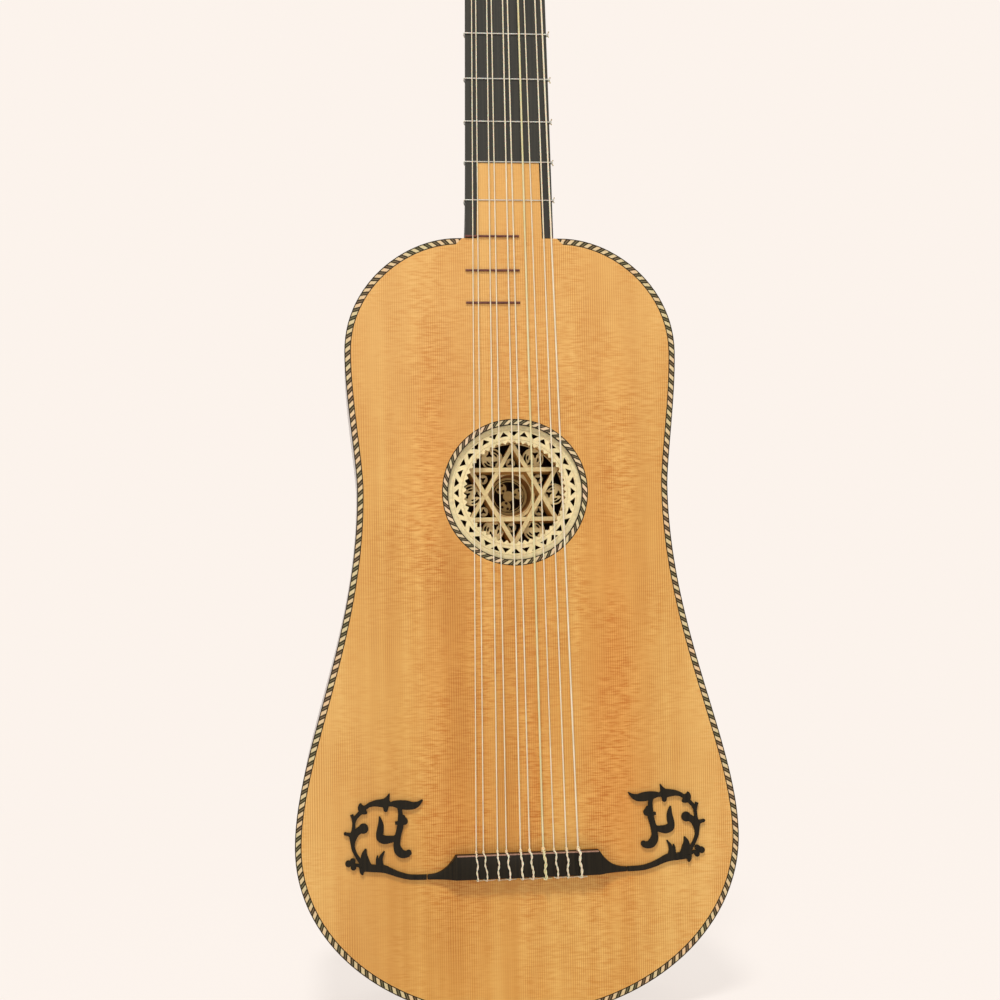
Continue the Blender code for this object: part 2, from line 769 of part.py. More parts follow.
def peg_grip(turn):
    """The flat oval grip behind the head."""
    behind = -HEAD_THICKNESS - PEG_STEM_LENGTH
    shape = bmesh.new()
    bmesh.ops.create_uvsphere(shape, u_segments=8, v_segments=6, radius=1)
    grip = Matrix.Diagonal((PEG_GRIP_HALF_WIDTH, PEG_GRIP_HALF_THICKNESS, PEG_GRIP_HALF_LENGTH, 1))
    place = Matrix.Translation((0, 0, behind - PEG_GRIP_HALF_LENGTH))
    shape.transform(Matrix.Rotation(turn, 4, "Z") @ place @ grip)
    mesh = bpy.data.meshes.new("peg_grip")
    shape.to_mesh(mesh)
    shape.free()
    return mesh


def peg_shaft():
    back = -HEAD_THICKNESS
    profile = (
        (0, PEG_FRONT_REACH),
        (PEG_RADIUS_FRONT, PEG_FRONT_REACH),
        (PEG_RADIUS_FRONT, CLEARANCE),
        (PEG_RADIUS_BACK, back - CLEARANCE),
        (PEG_COLLAR_RADIUS, back - PEG_COLLAR_LENGTH / 2),
        (PEG_RADIUS_FRONT, back - PEG_COLLAR_LENGTH),
        (PEG_RADIUS_FRONT, back - PEG_STEM_LENGTH - PEG_GRIP_HALF_LENGTH / 2),
        (0, back - PEG_STEM_LENGTH - PEG_GRIP_HALF_LENGTH / 2),
    )
    return turned("peg_shaft", profile, PEG_SIDES)


def winding_points(index):
    """The string's turns round its peg, in the peg's own frame, from the nut side into the string hole."""
    peg, touch, run = string_meets_peg(index)
    radius = winding_radius(index)
    pitch = STRING_DIAMETER[index] + WINDING_GAP
    arm = touch - peg
    start = math.atan2(arm.y, arm.x)
    sense = 1 if arm.x * run.y - arm.y * run.x > 0 else -1
    lead = arm - WINDING_LEAD * run
    points = [Vector((lead.x, lead.y, WINDING_TOP))]
    count = WINDING_TURNS * WINDING_POINTS
    for step in range(count + 1):
        turns = step / WINDING_POINTS
        angle = start + sense * math.tau * turns
        points.append(
            Vector((radius * math.cos(angle), radius * math.sin(angle), WINDING_TOP - pitch * turns))
        )
    final = start + sense * math.tau * (WINDING_TURNS + 0.5 / WINDING_POINTS)
    inside = PEG_RADIUS_FRONT * 0.4
    points.append(
        Vector((inside * math.cos(final), inside * math.sin(final), WINDING_TOP - pitch * WINDING_TURNS))
    )
    return points


def least_gap(points, diameter):
    """The least clear space between runs of a wire that lie more than half a turn apart."""
    least = math.inf
    apart = WINDING_POINTS // 2 + 1
    for first in range(len(points) - 1):
        for second in range(first + apart, len(points) - 1):
            for share in (0, 0.5):
                here = points[first].lerp(points[first + 1], share)
                there = points[second].lerp(points[second + 1], share)
                least = min(least, (here - there).length - diameter)
    return least


def make_pegs():
    gaps = []
    for index, place in enumerate(peg_places()):
        name = f"peg_{index + 1}"
        points = winding_points(index)
        gaps.append(least_gap(points[:-1], STRING_DIAMETER[index]))
        turns = evaluated_mesh(
            helper_object(tube(name, points, STRING_DIAMETER[index] / 2)), name + "_turns"
        )
        grip_turn = math.radians(20 + 37 * index)
        extras = together(name + "_grip_and_turns", [peg_grip(grip_turn), turns])
        location = (place.x, place.y, 0)
        peg = add_part(name, smooth(peg_shaft()), EBONY, parent=HEAD_FRAME, location=location)
        tool = add_tool(name + "_grip_and_turns", extras, parent=HEAD_FRAME, location=location)
        boolean(peg, tool, "UNION")
    print(f"least gap between the turns of one winding: {1000 * min(gaps):.2f} mm")


def reach_clear_of_winding(index):
    """How far short of its touching point a string ends, so that its peg can turn with the lead on it."""
    radius = STRING_DIAMETER[index] / 2
    sweep = math.hypot(winding_radius(index) + radius, WINDING_LEAD) + CLEARANCE
    return math.sqrt(sweep**2 - (winding_radius(index) - radius) ** 2)


def string_points(index):
    """One string from its tie at the bridge, through its hole, over the nut and on to its peg."""
    radius = STRING_DIAMETER[index] / 2
    x = STRING_AT_BRIDGE[index]
    lean = x + TIE_LEAN[index]
    above = BRIDGE_HEIGHT + 2 * CLEARANCE + radius
    before = BRIDGE_FRONT_Y + CLEARANCE + radius
    behind = BRIDGE_REAR_Y - CLEARANCE - radius
    hole = STRING_HEIGHT_AT_BRIDGE
    points = [
        Vector((x, before, hole + STRING_DIAMETER[index] + CLEARANCE)),
        Vector((x, before, above - STRING_BEND)),
        Vector((x, before - STRING_BEND, above)),
        Vector((lean, behind + STRING_BEND, above)),
        Vector((lean, behind, above - STRING_BEND)),
        Vector((x, behind, hole + STRING_BEND)),
        Vector((x, behind + STRING_BEND, hole)),
        Vector((x, BRIDGE_FRONT_Y, hole)),
        Vector((STRING_AT_NUT[index], NUT_Y, STRING_HEIGHT_AT_NUT)),
        Vector((STRING_AT_NUT[index], NECK_END, STRING_HEIGHT_AT_NUT)),
    ]
    peg, touch, run = string_meets_peg(index)
    end = touch - reach_clear_of_winding(index) * run
    points.append(head_point(end.x, end.y, WINDING_TOP))
    return points


def make_strings():
    for index, diameter in enumerate(STRING_DIAMETER):
        name = f"string_{index + 1}"
        add_part(name, tube(name, string_points(index), diameter / 2), GUT)


def fret_y(number):
    """Equal steps: each fret shortens the sounding length by a twelfth root of two."""
    return SCALE_START_Y + STRING_LENGTH * 2 ** (-number / 12)


def tied_frets():
    """The frets far enough up the neck for a gut loop to pass round it; the rest are wooden."""
    limit = NECK_START + TIED_FRET_FROM_BODY
    return [number for number in range(1, FRET_COUNT + 1) if fret_y(number) > limit]


def make_body_frets():
    """Half-round wooden strips under the first three courses only."""
    half = BODY_FRET_WIDTH / 2
    for number in range(len(tied_frets()) + 1, FRET_COUNT + 1):
        name = f"body_fret_{number}"
        profile = [(-half, 0), (half, 0)]
        for angle in (35, 75, 105, 145):
            turn = math.radians(angle)
            profile.append((half * math.cos(turn), BODY_FRET_HEIGHT * math.sin(turn)))
        mesh = upright_plate(name, profile, BODY_FRET_LEFT, BODY_FRET_RIGHT)
        mesh.transform(Matrix.Rotation(math.radians(-90), 4, "Z"))
        add_part(name, smooth(mesh), FRET_WOOD, location=(0, fret_y(number), CLEARANCE))


def make_tied_frets():
    """Each gut fret is a loop round the neck with its knot at the right edge, free to slide along it."""
    numbers = tied_frets()
    for number in numbers:
        share = (number - 1) / (len(numbers) - 1)
        radius = GUT_FRET_RADIUS_FIRST + share * (GUT_FRET_RADIUS_LAST - GUT_FRET_RADIUS_FIRST)
        height = fret_y(number)
        swell = CLEARANCE + radius
        places = neck_arc(height, swell)
        edge = places[0][0]
        top = CLEARANCE + radius
        corner = radius
        loop = [(-edge, top - corner), (-edge + corner, top), (edge - corner, top), (edge, top - corner)]
        points = [Vector((x, 0, z)) for x, z in places + loop]
        name = f"neck_fret_{number}"
        mesh = evaluated_mesh(helper_object(tube(name, points, radius, closed=True)), name)
        fret = add_part(name, smooth(mesh, 60), GUT, location=(0, height, 0))
        shape = bmesh.new()
        bmesh.ops.create_icosphere(shape, subdivisions=1, radius=KNOT_RADIUS)
        knot_x = edge - radius + KNOT_RADIUS
        shape.transform(Matrix.Translation((knot_x, 0, -KNOT_RADIUS)))
        knot = bpy.data.meshes.new(name + "_knot")
        shape.to_mesh(knot)
        shape.free()
        boolean(fret, add_tool(name + "_knot", knot, location=(0, height, 0)), "UNION")


# Bridge and moustaches


def concave_end(start, end, steps):
    """A hollow curve that leaves start steeply and reaches end level."""
    start = Vector(start)
    end = Vector(end)
    corner = Vector((start.x + 0.25 * (end.x - start.x), start.y + 0.6 * (end.y - start.y)))
    level = Vector((start.x + 0.5 * (end.x - start.x), end.y))
    return [tuple(place) for place in bezier(start, corner, level, end, steps)] + [tuple(end)]


def make_bridge():
    """The block's plan and its elevation both fall in hollow curves to two thin arms."""
    front = concave_end((BRIDGE_TOP_HALF, BRIDGE_FRONT_Y), (BRIDGE_HALF, BRIDGE_ARM_FRONT_Y), 5)
    half = front + [(BRIDGE_HALF, BRIDGE_ARM_REAR_Y), (BRIDGE_TOP_HALF, BRIDGE_REAR_Y)]
    plan = plate("bridge", [half + mirrored(half)], CLEARANCE, BRIDGE_HEIGHT + CLEARANCE)
    bridge = add_part("bridge", plan, EBONY, location=(BRIDGE_OFFSET, 0, 0))
    top = concave_end((BRIDGE_TOP_HALF, BRIDGE_HEIGHT), (BRIDGE_HALF, BRIDGE_ARM_HEIGHT), 5)
    beyond = BRIDGE_HALF + CLEARANCE
    side = top + [(beyond, BRIDGE_ARM_HEIGHT), (beyond, -BRIDGE_ARM_HEIGHT)]
    near = BRIDGE_REAR_Y - BRIDGE_ARM_HEIGHT
    far = BRIDGE_FRONT_Y + BRIDGE_ARM_HEIGHT
    elevation = upright_plate("bridge_elevation", side + mirrored(side), near, far)
    place = (BRIDGE_OFFSET, 0, 0)
    boolean(bridge, add_tool("bridge_elevation", elevation, location=place), "INTERSECT")
    holes = []
    for x, diameter in zip(STRING_AT_BRIDGE, STRING_DIAMETER):
        radius = (diameter / 2 + CLEARANCE) / math.cos(math.pi / 6)
        centre = (x, STRING_HEIGHT_AT_BRIDGE)
        holes.append(upright_plate("string_hole", circle(centre, radius, 6), near, far))
    boolean(bridge, add_tool("string_holes", together("string_holes", holes)), "DIFFERENCE")


def stroke(name, places):
    """A tapering stem of the ornament: each place is its middle, X, Y, and its width there."""
    left = []
    right = []
    for index, (x, y, width) in enumerate(places):
        before = Vector(places[max(index - 1, 0)][:2])
        after = Vector(places[min(index + 1, len(places) - 1)][:2])
        run = (after - before).normalized()
        side = Vector((-run.y, run.x)) * max(width, 0.0004) / 2
        left.append((x + side.x, y + side.y))
        right.append((x - side.x, y - side.y))
    return plate(name, [left + right[::-1]], 0, 1)


def berry(name, x, y, radius):
    return plate(name, [circle((x, y), radius, 8)], 0, 1)


STEMS = {
    "arm": (
        (-59.1, 85.1, 2.6), (-68.0, 85.4, 2.6), (-75.0, 87.2, 2.9), (-79.5, 89.1, 3.3), (-84.0, 90.8, 4.1),
        (-90.0, 91.3, 3.9), (-96.0, 92.4, 4.8),
    ),
    "tall_leaf": ((-94.4, 92.4, 7.6), (-94.6, 96.0, 5.0), (-94.8, 99.5, 3.1), (-93.8, 102.6, 0.6)),
    "right_twin_leaf": ((-85.0, 91.2, 3.2), (-85.4, 95.0, 2.2), (-85.1, 97.6, 1.9), (-83.2, 100.9, 0.5)),
    "left_twin_leaf": ((-86.8, 91.2, 2.8), (-87.2, 94.2, 2.0), (-87.4, 96.5, 1.3), (-87.1, 98.5, 0.4)),
    "spur": ((-95.8, 91.8, 4.2), (-96.3, 89.5, 2.4), (-95.9, 87.8, 0.7)),
    "berry_link": ((-102.6, 93.9, 1.6), (-96.0, 93.0, 1.4)),
    "vine": (
        (-96.4, 94.6, 2.4), (-99.1, 98.5, 1.7), (-101.0, 102.7, 1.9), (-101.4, 105.6, 2.3), (-101.3, 108.4, 3.4),
        (-101.2, 110.8, 4.0), (-101.0, 113.1, 2.1), (-100.6, 117.7, 1.5), (-99.9, 120.2, 2.0), (-98.7, 121.8, 2.0),
        (-96.8, 123.6, 2.2),
    ),
    "bud_stalk": ((-101.6, 110.6, 3.4), (-103.8, 111.3, 1.7), (-106.0, 111.8, 1.4)),
    "spike": ((-100.7, 118.0, 1.4), (-101.2, 120.8, 1.4), (-101.8, 122.6, 1.8)),
    "garland": (
        (-95.0, 125.8, 2.6), (-93.3, 126.8, 2.1), (-91.4, 127.9, 2.3), (-88.5, 128.6, 3.1), (-85.7, 128.7, 3.9),
        (-82.8, 128.6, 4.6), (-80.4, 128.2, 3.2), (-79.2, 127.9, 2.2), (-77.0, 128.0, 3.3), (-74.1, 127.6, 4.5),
        (-70.0, 127.0, 5.0), (-66.5, 126.6, 4.0), (-64.2, 127.1, 3.1), (-62.5, 128.1, 1.9), (-60.6, 129.8, 0.4),
    ),
    "up_spike": ((-81.9, 129.6, 4.2), (-80.5, 132.3, 1.4), (-79.9, 133.9, 0.4)),
    "drop": ((-82.0, 127.5, 3.6), (-82.1, 124.6, 2.2)),
    "inner_stalk": ((-96.0, 114.2, 4.2), (-98.6, 112.6, 3.7), (-100.2, 110.2, 3.1), (-101.1, 106.8, 2.0)),
    "stem": (
        (-74.6, 127.6, 4.2), (-73.9, 125.1, 2.5), (-73.6, 121.6, 2.5), (-73.5, 118.0, 3.4), (-73.8, 114.8, 3.4),
        (-75.0, 110.3, 3.3), (-75.8, 106.0, 3.4), (-75.9, 103.6, 3.9), (-75.2, 101.3, 4.6), (-73.6, 99.3, 4.6),
        (-71.3, 98.7, 3.9), (-68.8, 99.2, 3.2),
    ),
    "stem_bump": ((-73.9, 116.9, 2.6), (-76.8, 116.9, 1.3)),
    "hook": (
        (-75.0, 109.0, 4.2), (-77.3, 108.0, 3.1), (-80.1, 107.6, 3.9), (-83.0, 107.5, 4.6), (-85.2, 108.6, 4.6),
        (-85.9, 110.6, 3.8), (-85.4, 113.3, 3.7), (-85.1, 116.1, 3.1), (-85.3, 118.5, 2.0), (-85.8, 121.0, 0.4),
    ),
}
BERRIES = (
    (-104.0, 94.5, 1.9), (-101.5, 96.0, 1.6), (-101.2, 92.2, 1.6), (-105.6, 111.8, 0.9), (-95.1, 114.4, 2.9),
    (-82.1, 124.8, 1.3), (-71.5, 117.9, 2.2), (-72.2, 119.9, 1.6), (-69.1, 99.5, 1.7),
)
KNOB_LEAF = (
    (-98.2, 126.4), (-97.4, 128.5), (-96.3, 129.0), (-95.5, 128.0), (-94.0, 127.1), (-93.3, 125.0), (-92.8, 123.2),
    (-94.0, 122.6), (-96.2, 122.8), (-97.7, 124.2),
)


def millimetres(places):
    return [tuple(value / 1000 for value in place) for place in places]


def moustache_shapes():
    """The left ornament's stems, berries and squarish leaf."""
    shapes = [stroke(name, millimetres(places)) for name, places in STEMS.items()]
    for x, y, radius in millimetres(BERRIES):
        shapes.append(berry("berry", x, y, radius))
    shapes.append(plate("knob_leaf", [millimetres(KNOB_LEAF)], 0, 1))
    return shapes


def make_moustaches():
    """Flat foliate ornaments that butt against the bridge's arms; the right one mirrors the left."""
    shapes = moustache_shapes()
    for level, shape in enumerate(shapes):
        sunk = 0.00002 * level
        height = MOUSTACHE_THICKNESS - 2 * sunk
        raise_by = Matrix.Translation((-CLEARANCE, 0, CLEARANCE + sunk))
        shape.transform(raise_by @ Matrix.Diagonal((1, 1, height, 1)))
    for name, sign in (("moustache_left", 1), ("moustache_right", -1)):
        first = together(name, shapes[:1])
        rest = together(name + "_stems", shapes[1:])
        if sign < 0:
            for mesh in (first, rest):
                mesh.transform(Matrix.Diagonal((-1, 1, 1, 1)))
                mesh.flip_normals()
        place = (BRIDGE_OFFSET, 0, 0)
        ornament = add_part(name, first, EBONY, location=place)
        boolean(ornament, add_tool(name + "_stems", rest, location=place), "UNION")


# Rose


def trefoil(centre, radius, turn):
    """A small three-pointed piercing."""
    places = []
    for index in range(6):
        reach = radius if index % 2 == 0 else 0.38 * radius
        places.append(polar(reach, turn + math.tau * index / 6, centre))
    return places


def crescent(centre, radius, width, middle, reach):
    """A curved slot that reaches as far either side of its middle, thin at both ends."""
    outer = [polar(radius, angle, centre) for angle in (middle - reach, middle, middle + reach)]
    return outer + [polar(radius - width, middle, centre)]


def make_rope_ring():
    profile = (
        (ROSE_HOLE_RADIUS, -ROPE_RING_THICKNESS),
        (ROPE_RING_RADIUS, -ROPE_RING_THICKNESS),
        (ROPE_RING_RADIUS, 0),
        (ROSE_HOLE_RADIUS, 0),
    )
    mesh = turned("rose_rope_ring", profile, 36, closed=True)
    add_part("rose_rope_ring", smooth(mesh), ROPE_INLAY, location=(ROSE_X, ROSE_Y, 0))


def make_rim_tier():
    """The flat parchment ring under the soundboard's edge, with its pierced band and toothed inner edge."""
    outer = circle((0, 0), RIM_FLANGE_RADIUS, 36)
    inner = []
    for tooth in range(RIM_TEETH):
        angle = math.tau * tooth / RIM_TEETH
        inner.append(polar(RIM_TOOTH_ROOT, angle))
        inner.append(polar(RIM_TOOTH_TIP, angle + math.pi / RIM_TEETH))
    loops = [outer, inner]
    step = math.tau / PIERCINGS
    for index in range(PIERCINGS):
        middle = index * step
        points_in = index % 2 == 1
        base = PIERCING_OUTER if points_in else PIERCING_INNER
        tip = PIERCING_INNER if points_in else PIERCING_OUTER
        spread = step - PIERCING_BAR / base
        loops.append([polar(base, middle - spread / 2), polar(base, middle + spread / 2), polar(tip, middle)])
    add_part(
        "rose_rim_tier", plate("rose_rim_tier", loops, RIM_BOTTOM, RIM_TOP), PARCHMENT_CREAM, location=(ROSE_X, ROSE_Y, 0)
    )


def star_triangle(turn, step):
    """One of the star's two triangles: three upright walls of parchment, seen on edge."""
    outer = circle((0, 0), 2 * (STAR_LINE_RADIUS + STAR_BAR_WIDTH / 2), 3, turn)
    inner = circle((0, 0), 2 * (STAR_LINE_RADIUS - STAR_BAR_WIDTH / 2), 3, turn)
    return plate("star_triangle", [outer, inner], -STAR_BAR_BOTTOM + step, -STAR_BAR_TOP + step)


def roundel(angle):
    """A disc between two points of the star: two trefoils on its radius, two slots to either side."""
    centre = polar(ROUNDEL_AT, angle)
    loops = [circle(centre, ROUNDEL_RADIUS, 12, angle)]
    for turn in (angle, angle + math.pi):
        loops.append(trefoil(polar(ROUNDEL_TREFOIL_AT, turn, centre), TREFOIL_RADIUS, turn + math.pi))
        for radius in (OUTER_SLOT_RADIUS, INNER_SLOT_RADIUS):
            loops.append(
                crescent(centre, radius, ROUNDEL_SLOT_WIDTH, turn + math.pi / 2, ROUNDEL_SLOT_REACH)
            )
    return plate("roundel", loops, -ROUNDEL_DEPTH - PARCHMENT, -ROUNDEL_DEPTH)


def point_ring(angle):
    """A small ring low down inside one point of the star."""
    centre = polar(POINT_RING_AT, angle)
    loops = [circle(centre, POINT_RING_RADIUS, 8, angle), trefoil(centre, POINT_TREFOIL_RADIUS, angle)]
    return plate("point_ring", loops, -POINT_RING_DEPTH - PARCHMENT / 2, -POINT_RING_DEPTH)


def make_star_tier():
    """The sunken tier hangs from the rim by its wall: a star of two triangles, discs and rings."""
    ledge = -ROUNDEL_DEPTH - PARCHMENT / 3
    floor = ledge - PARCHMENT
    wall = (
        (STAR_WALL_INNER, RIM_BOTTOM - CLEARANCE),
        (STAR_WALL_OUTER, RIM_BOTTOM - CLEARANCE),
        (STAR_WALL_OUTER, floor),
        (STAR_LEDGE_RADIUS, floor),
        (STAR_LEDGE_RADIUS, ledge),
        (STAR_WALL_INNER, ledge),
    )
    shell = turned("rose_star_tier", wall, 30, closed=True)
    ring = plate(
        "inner_ring",
        [circle((0, 0), INNER_RING_OUTER, 24), circle((0, 0), INNER_RING_INNER, 24)],
        -INNER_RING_DEPTH - PARCHMENT,
        -INNER_RING_DEPTH,
    )
    shapes = [star_triangle(math.radians(90), 0), star_triangle(math.radians(-90), STAR_BAR_STEP)]
    shapes.append(ring)
    for index in range(STAR_POINTS):
        angle = math.tau * index / STAR_POINTS
        shapes.append(roundel(angle))
        shapes.append(point_ring(angle + math.tau / (2 * STAR_POINTS)))
    tier = add_part("rose_star_tier", shell, PARCHMENT_CREAM, location=STAR_PLACE)
    boolean(tier, add_tool("star_and_discs", together("star_and_discs", shapes), location=STAR_PLACE), "UNION")


def well_lobe(angle):
    """One of the floor's lobes, from the hub out to the wall's ledge, with three round holes."""
    centre = polar(WELL_LOBE_AT, angle)
    loops = [circle(centre, WELL_LOBE_RADIUS, 12, angle)]
    for index in range(3):
        loops.append(circle(polar(WELL_HOLE_AT, angle + math.tau * (index + 0.5) / 3, centre), WELL_HOLE_RADIUS, 6))
    return plate("well_lobe", loops, -WELL_DEPTH - PARCHMENT + CLEARANCE / 3, -WELL_DEPTH - CLEARANCE / 3)


def make_well_tier():
    """The deepest tier: a tapering wall under the inner ring and a floor of three lobes."""
    floor = -WELL_DEPTH - PARCHMENT
    wall_thickness = WELL_TOP_OUTER - WELL_TOP_INNER
    wall = (
        (WELL_TOP_INNER, WELL_ROOF - CLEARANCE),
        (WELL_TOP_OUTER, WELL_ROOF - CLEARANCE),
        (WELL_FLOOR_OUTER, floor),
        (WELL_LEDGE_RADIUS, floor),
        (WELL_LEDGE_RADIUS, -WELL_DEPTH),
        (WELL_FLOOR_OUTER - wall_thickness, -WELL_DEPTH),
    )
    shell = turned("rose_well_tier", wall, 24, closed=True)
    hub = plate(
        "well_hub",
        [circle((0, 0), WELL_HUB_RADIUS, 10)],
        floor + CLEARANCE / 3,
        -WELL_DEPTH + CLEARANCE / 2,
    )
    shapes = [hub]
    for index in range(WELL_LOBES):
        shapes.append(well_lobe(WELL_TURN + math.tau * index / WELL_LOBES))
    tier = add_part("rose_well_tier", shell, PARCHMENT_CREAM, location=STAR_PLACE)
    boolean(tier, add_tool("well_floor", together("well_floor", shapes), location=STAR_PLACE), "UNION")


make_soundboard()
make_binding(
    "soundboard_binding",
    BINDING_WIDTH,
    NECK_HALF_AT_BODY + BINDING_GAP_AT_NECK,
    -SOUNDBOARD_THICKNESS,
    0,
    ROPE_INLAY,
)
make_binding(
    "back_binding", BACK_BINDING_WIDTH, CLEARANCE, -BODY_DEPTH, -BODY_DEPTH + BACK_THICKNESS, ROPE_INLAY
)
make_back()
make_sides()
make_linings()
make_blocks()
make_bars()
make_neck()
make_fingerboard()
make_nut()
make_head()
make_pegs()
make_strings()
make_body_frets()
make_tied_frets()
make_bridge()
make_moustaches()
make_rope_ring()
make_rim_tier()
make_star_tier()
make_well_tier()
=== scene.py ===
"""The looks of the baroque guitar: finer shapes, materials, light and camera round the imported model.

Sizes are in metres. Shapes are drawn in a bench frame, with X across the soundboard, Y up the neck from
the tail and Z out of the soundboard. BENCH then stands them upright.
"""

import math

import bmesh
import bpy
from mathutils import Matrix, Vector


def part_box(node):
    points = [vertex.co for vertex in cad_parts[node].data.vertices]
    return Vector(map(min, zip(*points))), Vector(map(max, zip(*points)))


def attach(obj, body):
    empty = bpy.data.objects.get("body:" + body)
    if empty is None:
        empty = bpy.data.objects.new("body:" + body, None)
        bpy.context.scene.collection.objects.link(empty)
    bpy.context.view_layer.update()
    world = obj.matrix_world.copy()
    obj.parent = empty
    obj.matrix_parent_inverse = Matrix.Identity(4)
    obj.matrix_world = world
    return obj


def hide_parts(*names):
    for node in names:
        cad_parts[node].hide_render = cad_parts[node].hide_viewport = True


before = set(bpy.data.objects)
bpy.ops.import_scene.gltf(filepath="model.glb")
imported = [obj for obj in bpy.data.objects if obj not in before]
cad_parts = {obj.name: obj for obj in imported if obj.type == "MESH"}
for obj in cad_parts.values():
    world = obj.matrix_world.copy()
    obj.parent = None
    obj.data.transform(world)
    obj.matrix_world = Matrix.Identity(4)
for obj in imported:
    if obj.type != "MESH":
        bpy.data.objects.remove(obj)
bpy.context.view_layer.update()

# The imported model's main sizes
CLEARANCE = 0.0003
BODY_LENGTH = 0.460
WIDEST_HALF = 0.1312
BODY_DEPTH = 0.088
BOARD_THICKNESS = 0.0020
BACK_THICKNESS = 0.0025
SIDE_THICKNESS = 0.0020
BINDING_WIDTH = 0.0038
BACK_BINDING_WIDTH = 0.0026
BINDING_START = 0.0284
BINDING_SLANT = 0.0038
SCALE_START_Y = 0.0964
STRING_LENGTH = 0.650
NUT_Y = SCALE_START_Y + STRING_LENGTH
NUT_LENGTH = 0.0048
NECK_START = BODY_LENGTH + CLEARANCE
NECK_END = NUT_Y + NUT_LENGTH
NECK_TOP = -0.0023
NECK_HALF_AT_BODY = 0.0264
NECK_HALF_AT_NUT = 0.0218
NECK_DEPTH_AT_BODY = 0.0205
NECK_DEPTH_AT_NUT = 0.0140
HEEL_DEPTH = 0.0850
HEEL_LENGTH = 0.0700
HEEL_CURVE = 3.5
TONGUE_HALF_AT_BODY = 0.0196
TONGUE_HALF_AT_TIP = 0.0185
TONGUE_LENGTH = 0.0453
HEAD_ANGLE = math.radians(8)
HEAD_LENGTH = 0.1960
HEAD_THICKNESS = 0.0140
HEAD_FACE_Z = -0.0010
PEG_FIRST_AT = 0.0340
PEG_PITCH = 0.0300
PEG_ROW_HALF_NEAR = 0.0235
PEG_ROW_HALF_FAR = 0.0265
PEG_RADIUS_FRONT = 0.0029
PEG_RADIUS_BACK = 0.0039
PEG_FRONT_REACH = 0.0130
PEG_COLLAR_RADIUS = 0.0056
PEG_COLLAR_LENGTH = 0.0040
PEG_STEM_LENGTH = 0.0060
PEG_GRIP = (0.0100, 0.0030, 0.0095)
WINDING_TURNS = 3
WINDING_GAP = 0.00045
WINDING_TOP = 0.0065
WINDING_LEAD = 0.0030
TIED_FRETS = range(1, 10)
GUT_FRET_RADIUS_FIRST = 0.00045
GUT_FRET_RADIUS_LAST = 0.00032
BRIDGE_X = 0.0038
BRIDGE_FRONT_Y = 0.0973
BRIDGE_REAR_Y = 0.0834
BRIDGE_TOP_HALF = 0.0422
BRIDGE_HALF = 0.0588
BRIDGE_HEIGHT = 0.0067
BRIDGE_ARM_HEIGHT = 0.0024
BRIDGE_ARM_FRONT_Y = 0.0866
BRIDGE_ARM_REAR_Y = 0.0838
MOUSTACHE_THICKNESS = 0.0018
STRING_AT_BRIDGE = (-0.02655, -0.0223, -0.01405, -0.00885, -0.00055, 0.0048, 0.01285, 0.0192, 0.02655, 0.0335)
STRING_AT_NUT = (-0.0187, -0.0167, -0.0106, -0.0086, -0.0022, 0.0000, 0.0059, 0.0089, 0.01515, 0.01785)
STRING_DIAMETER = (0.00062, 0.00062, 0.0007, 0.0007, 0.0008, 0.0008, 0.00115, 0.0007, 0.0008, 0.0010)
STRING_HEIGHT_AT_BRIDGE = 0.0042
STRING_HEIGHT_AT_NUT = 0.0022
TIE_LEAN = (0.0006, 0.0018, 0.0004, 0.0017, 0.0008, 0.0016, 0.0011, 0.0017, 0.0005, 0.0014)
ROSE_X = 0.0008
ROSE_Y = 0.3086
ROPE_RING_RADIUS = 0.0435
ROSE_HOLE_RADIUS = 0.0399
PARCHMENT = 0.0009

BOARD_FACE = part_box("soundboard")[0].y
BENCH = Matrix.Translation((0, BOARD_FACE, 0)) @ Matrix.Rotation(math.radians(90), 4, "X")
HEAD_RISE = HEAD_FACE_Z - NECK_TOP
HEAD_START = NECK_END + CLEARANCE / math.cos(HEAD_ANGLE) + HEAD_RISE * math.tan(HEAD_ANGLE)
HEAD = BENCH @ Matrix.Translation((0, HEAD_START, HEAD_FACE_Z)) @ Matrix.Rotation(-HEAD_ANGLE, 4, "X")


def new_object(name, data):
    made = bpy.data.objects.new(name, data)
    bpy.context.scene.collection.objects.link(made)
    return made


# Camera, at the photograph's viewing angle

CAMERA_PLACE = (-0.09927, 0.27249, 0.85722)
CAMERA_YAW = math.radians(6.048)
CAMERA_PITCH = math.radians(-2.096)
CAMERA_ROLL = math.radians(1.026)
LENS = 52.5
SENSOR = 36


def make_camera():
    data = bpy.data.cameras.new("camera")
    data.lens = LENS
    data.sensor_width = SENSOR
    data.clip_start = 0.01
    camera = new_object("camera", data)
    turn = (
        Matrix.Rotation(-CAMERA_YAW, 4, "Y")
        @ Matrix.Rotation(-CAMERA_PITCH, 4, "X")
        @ Matrix.Rotation(-CAMERA_ROLL, 4, "Z")
    )
    camera.matrix_world = BENCH @ Matrix.Translation(CAMERA_PLACE) @ turn
    bpy.context.scene.camera = camera


# Node trees


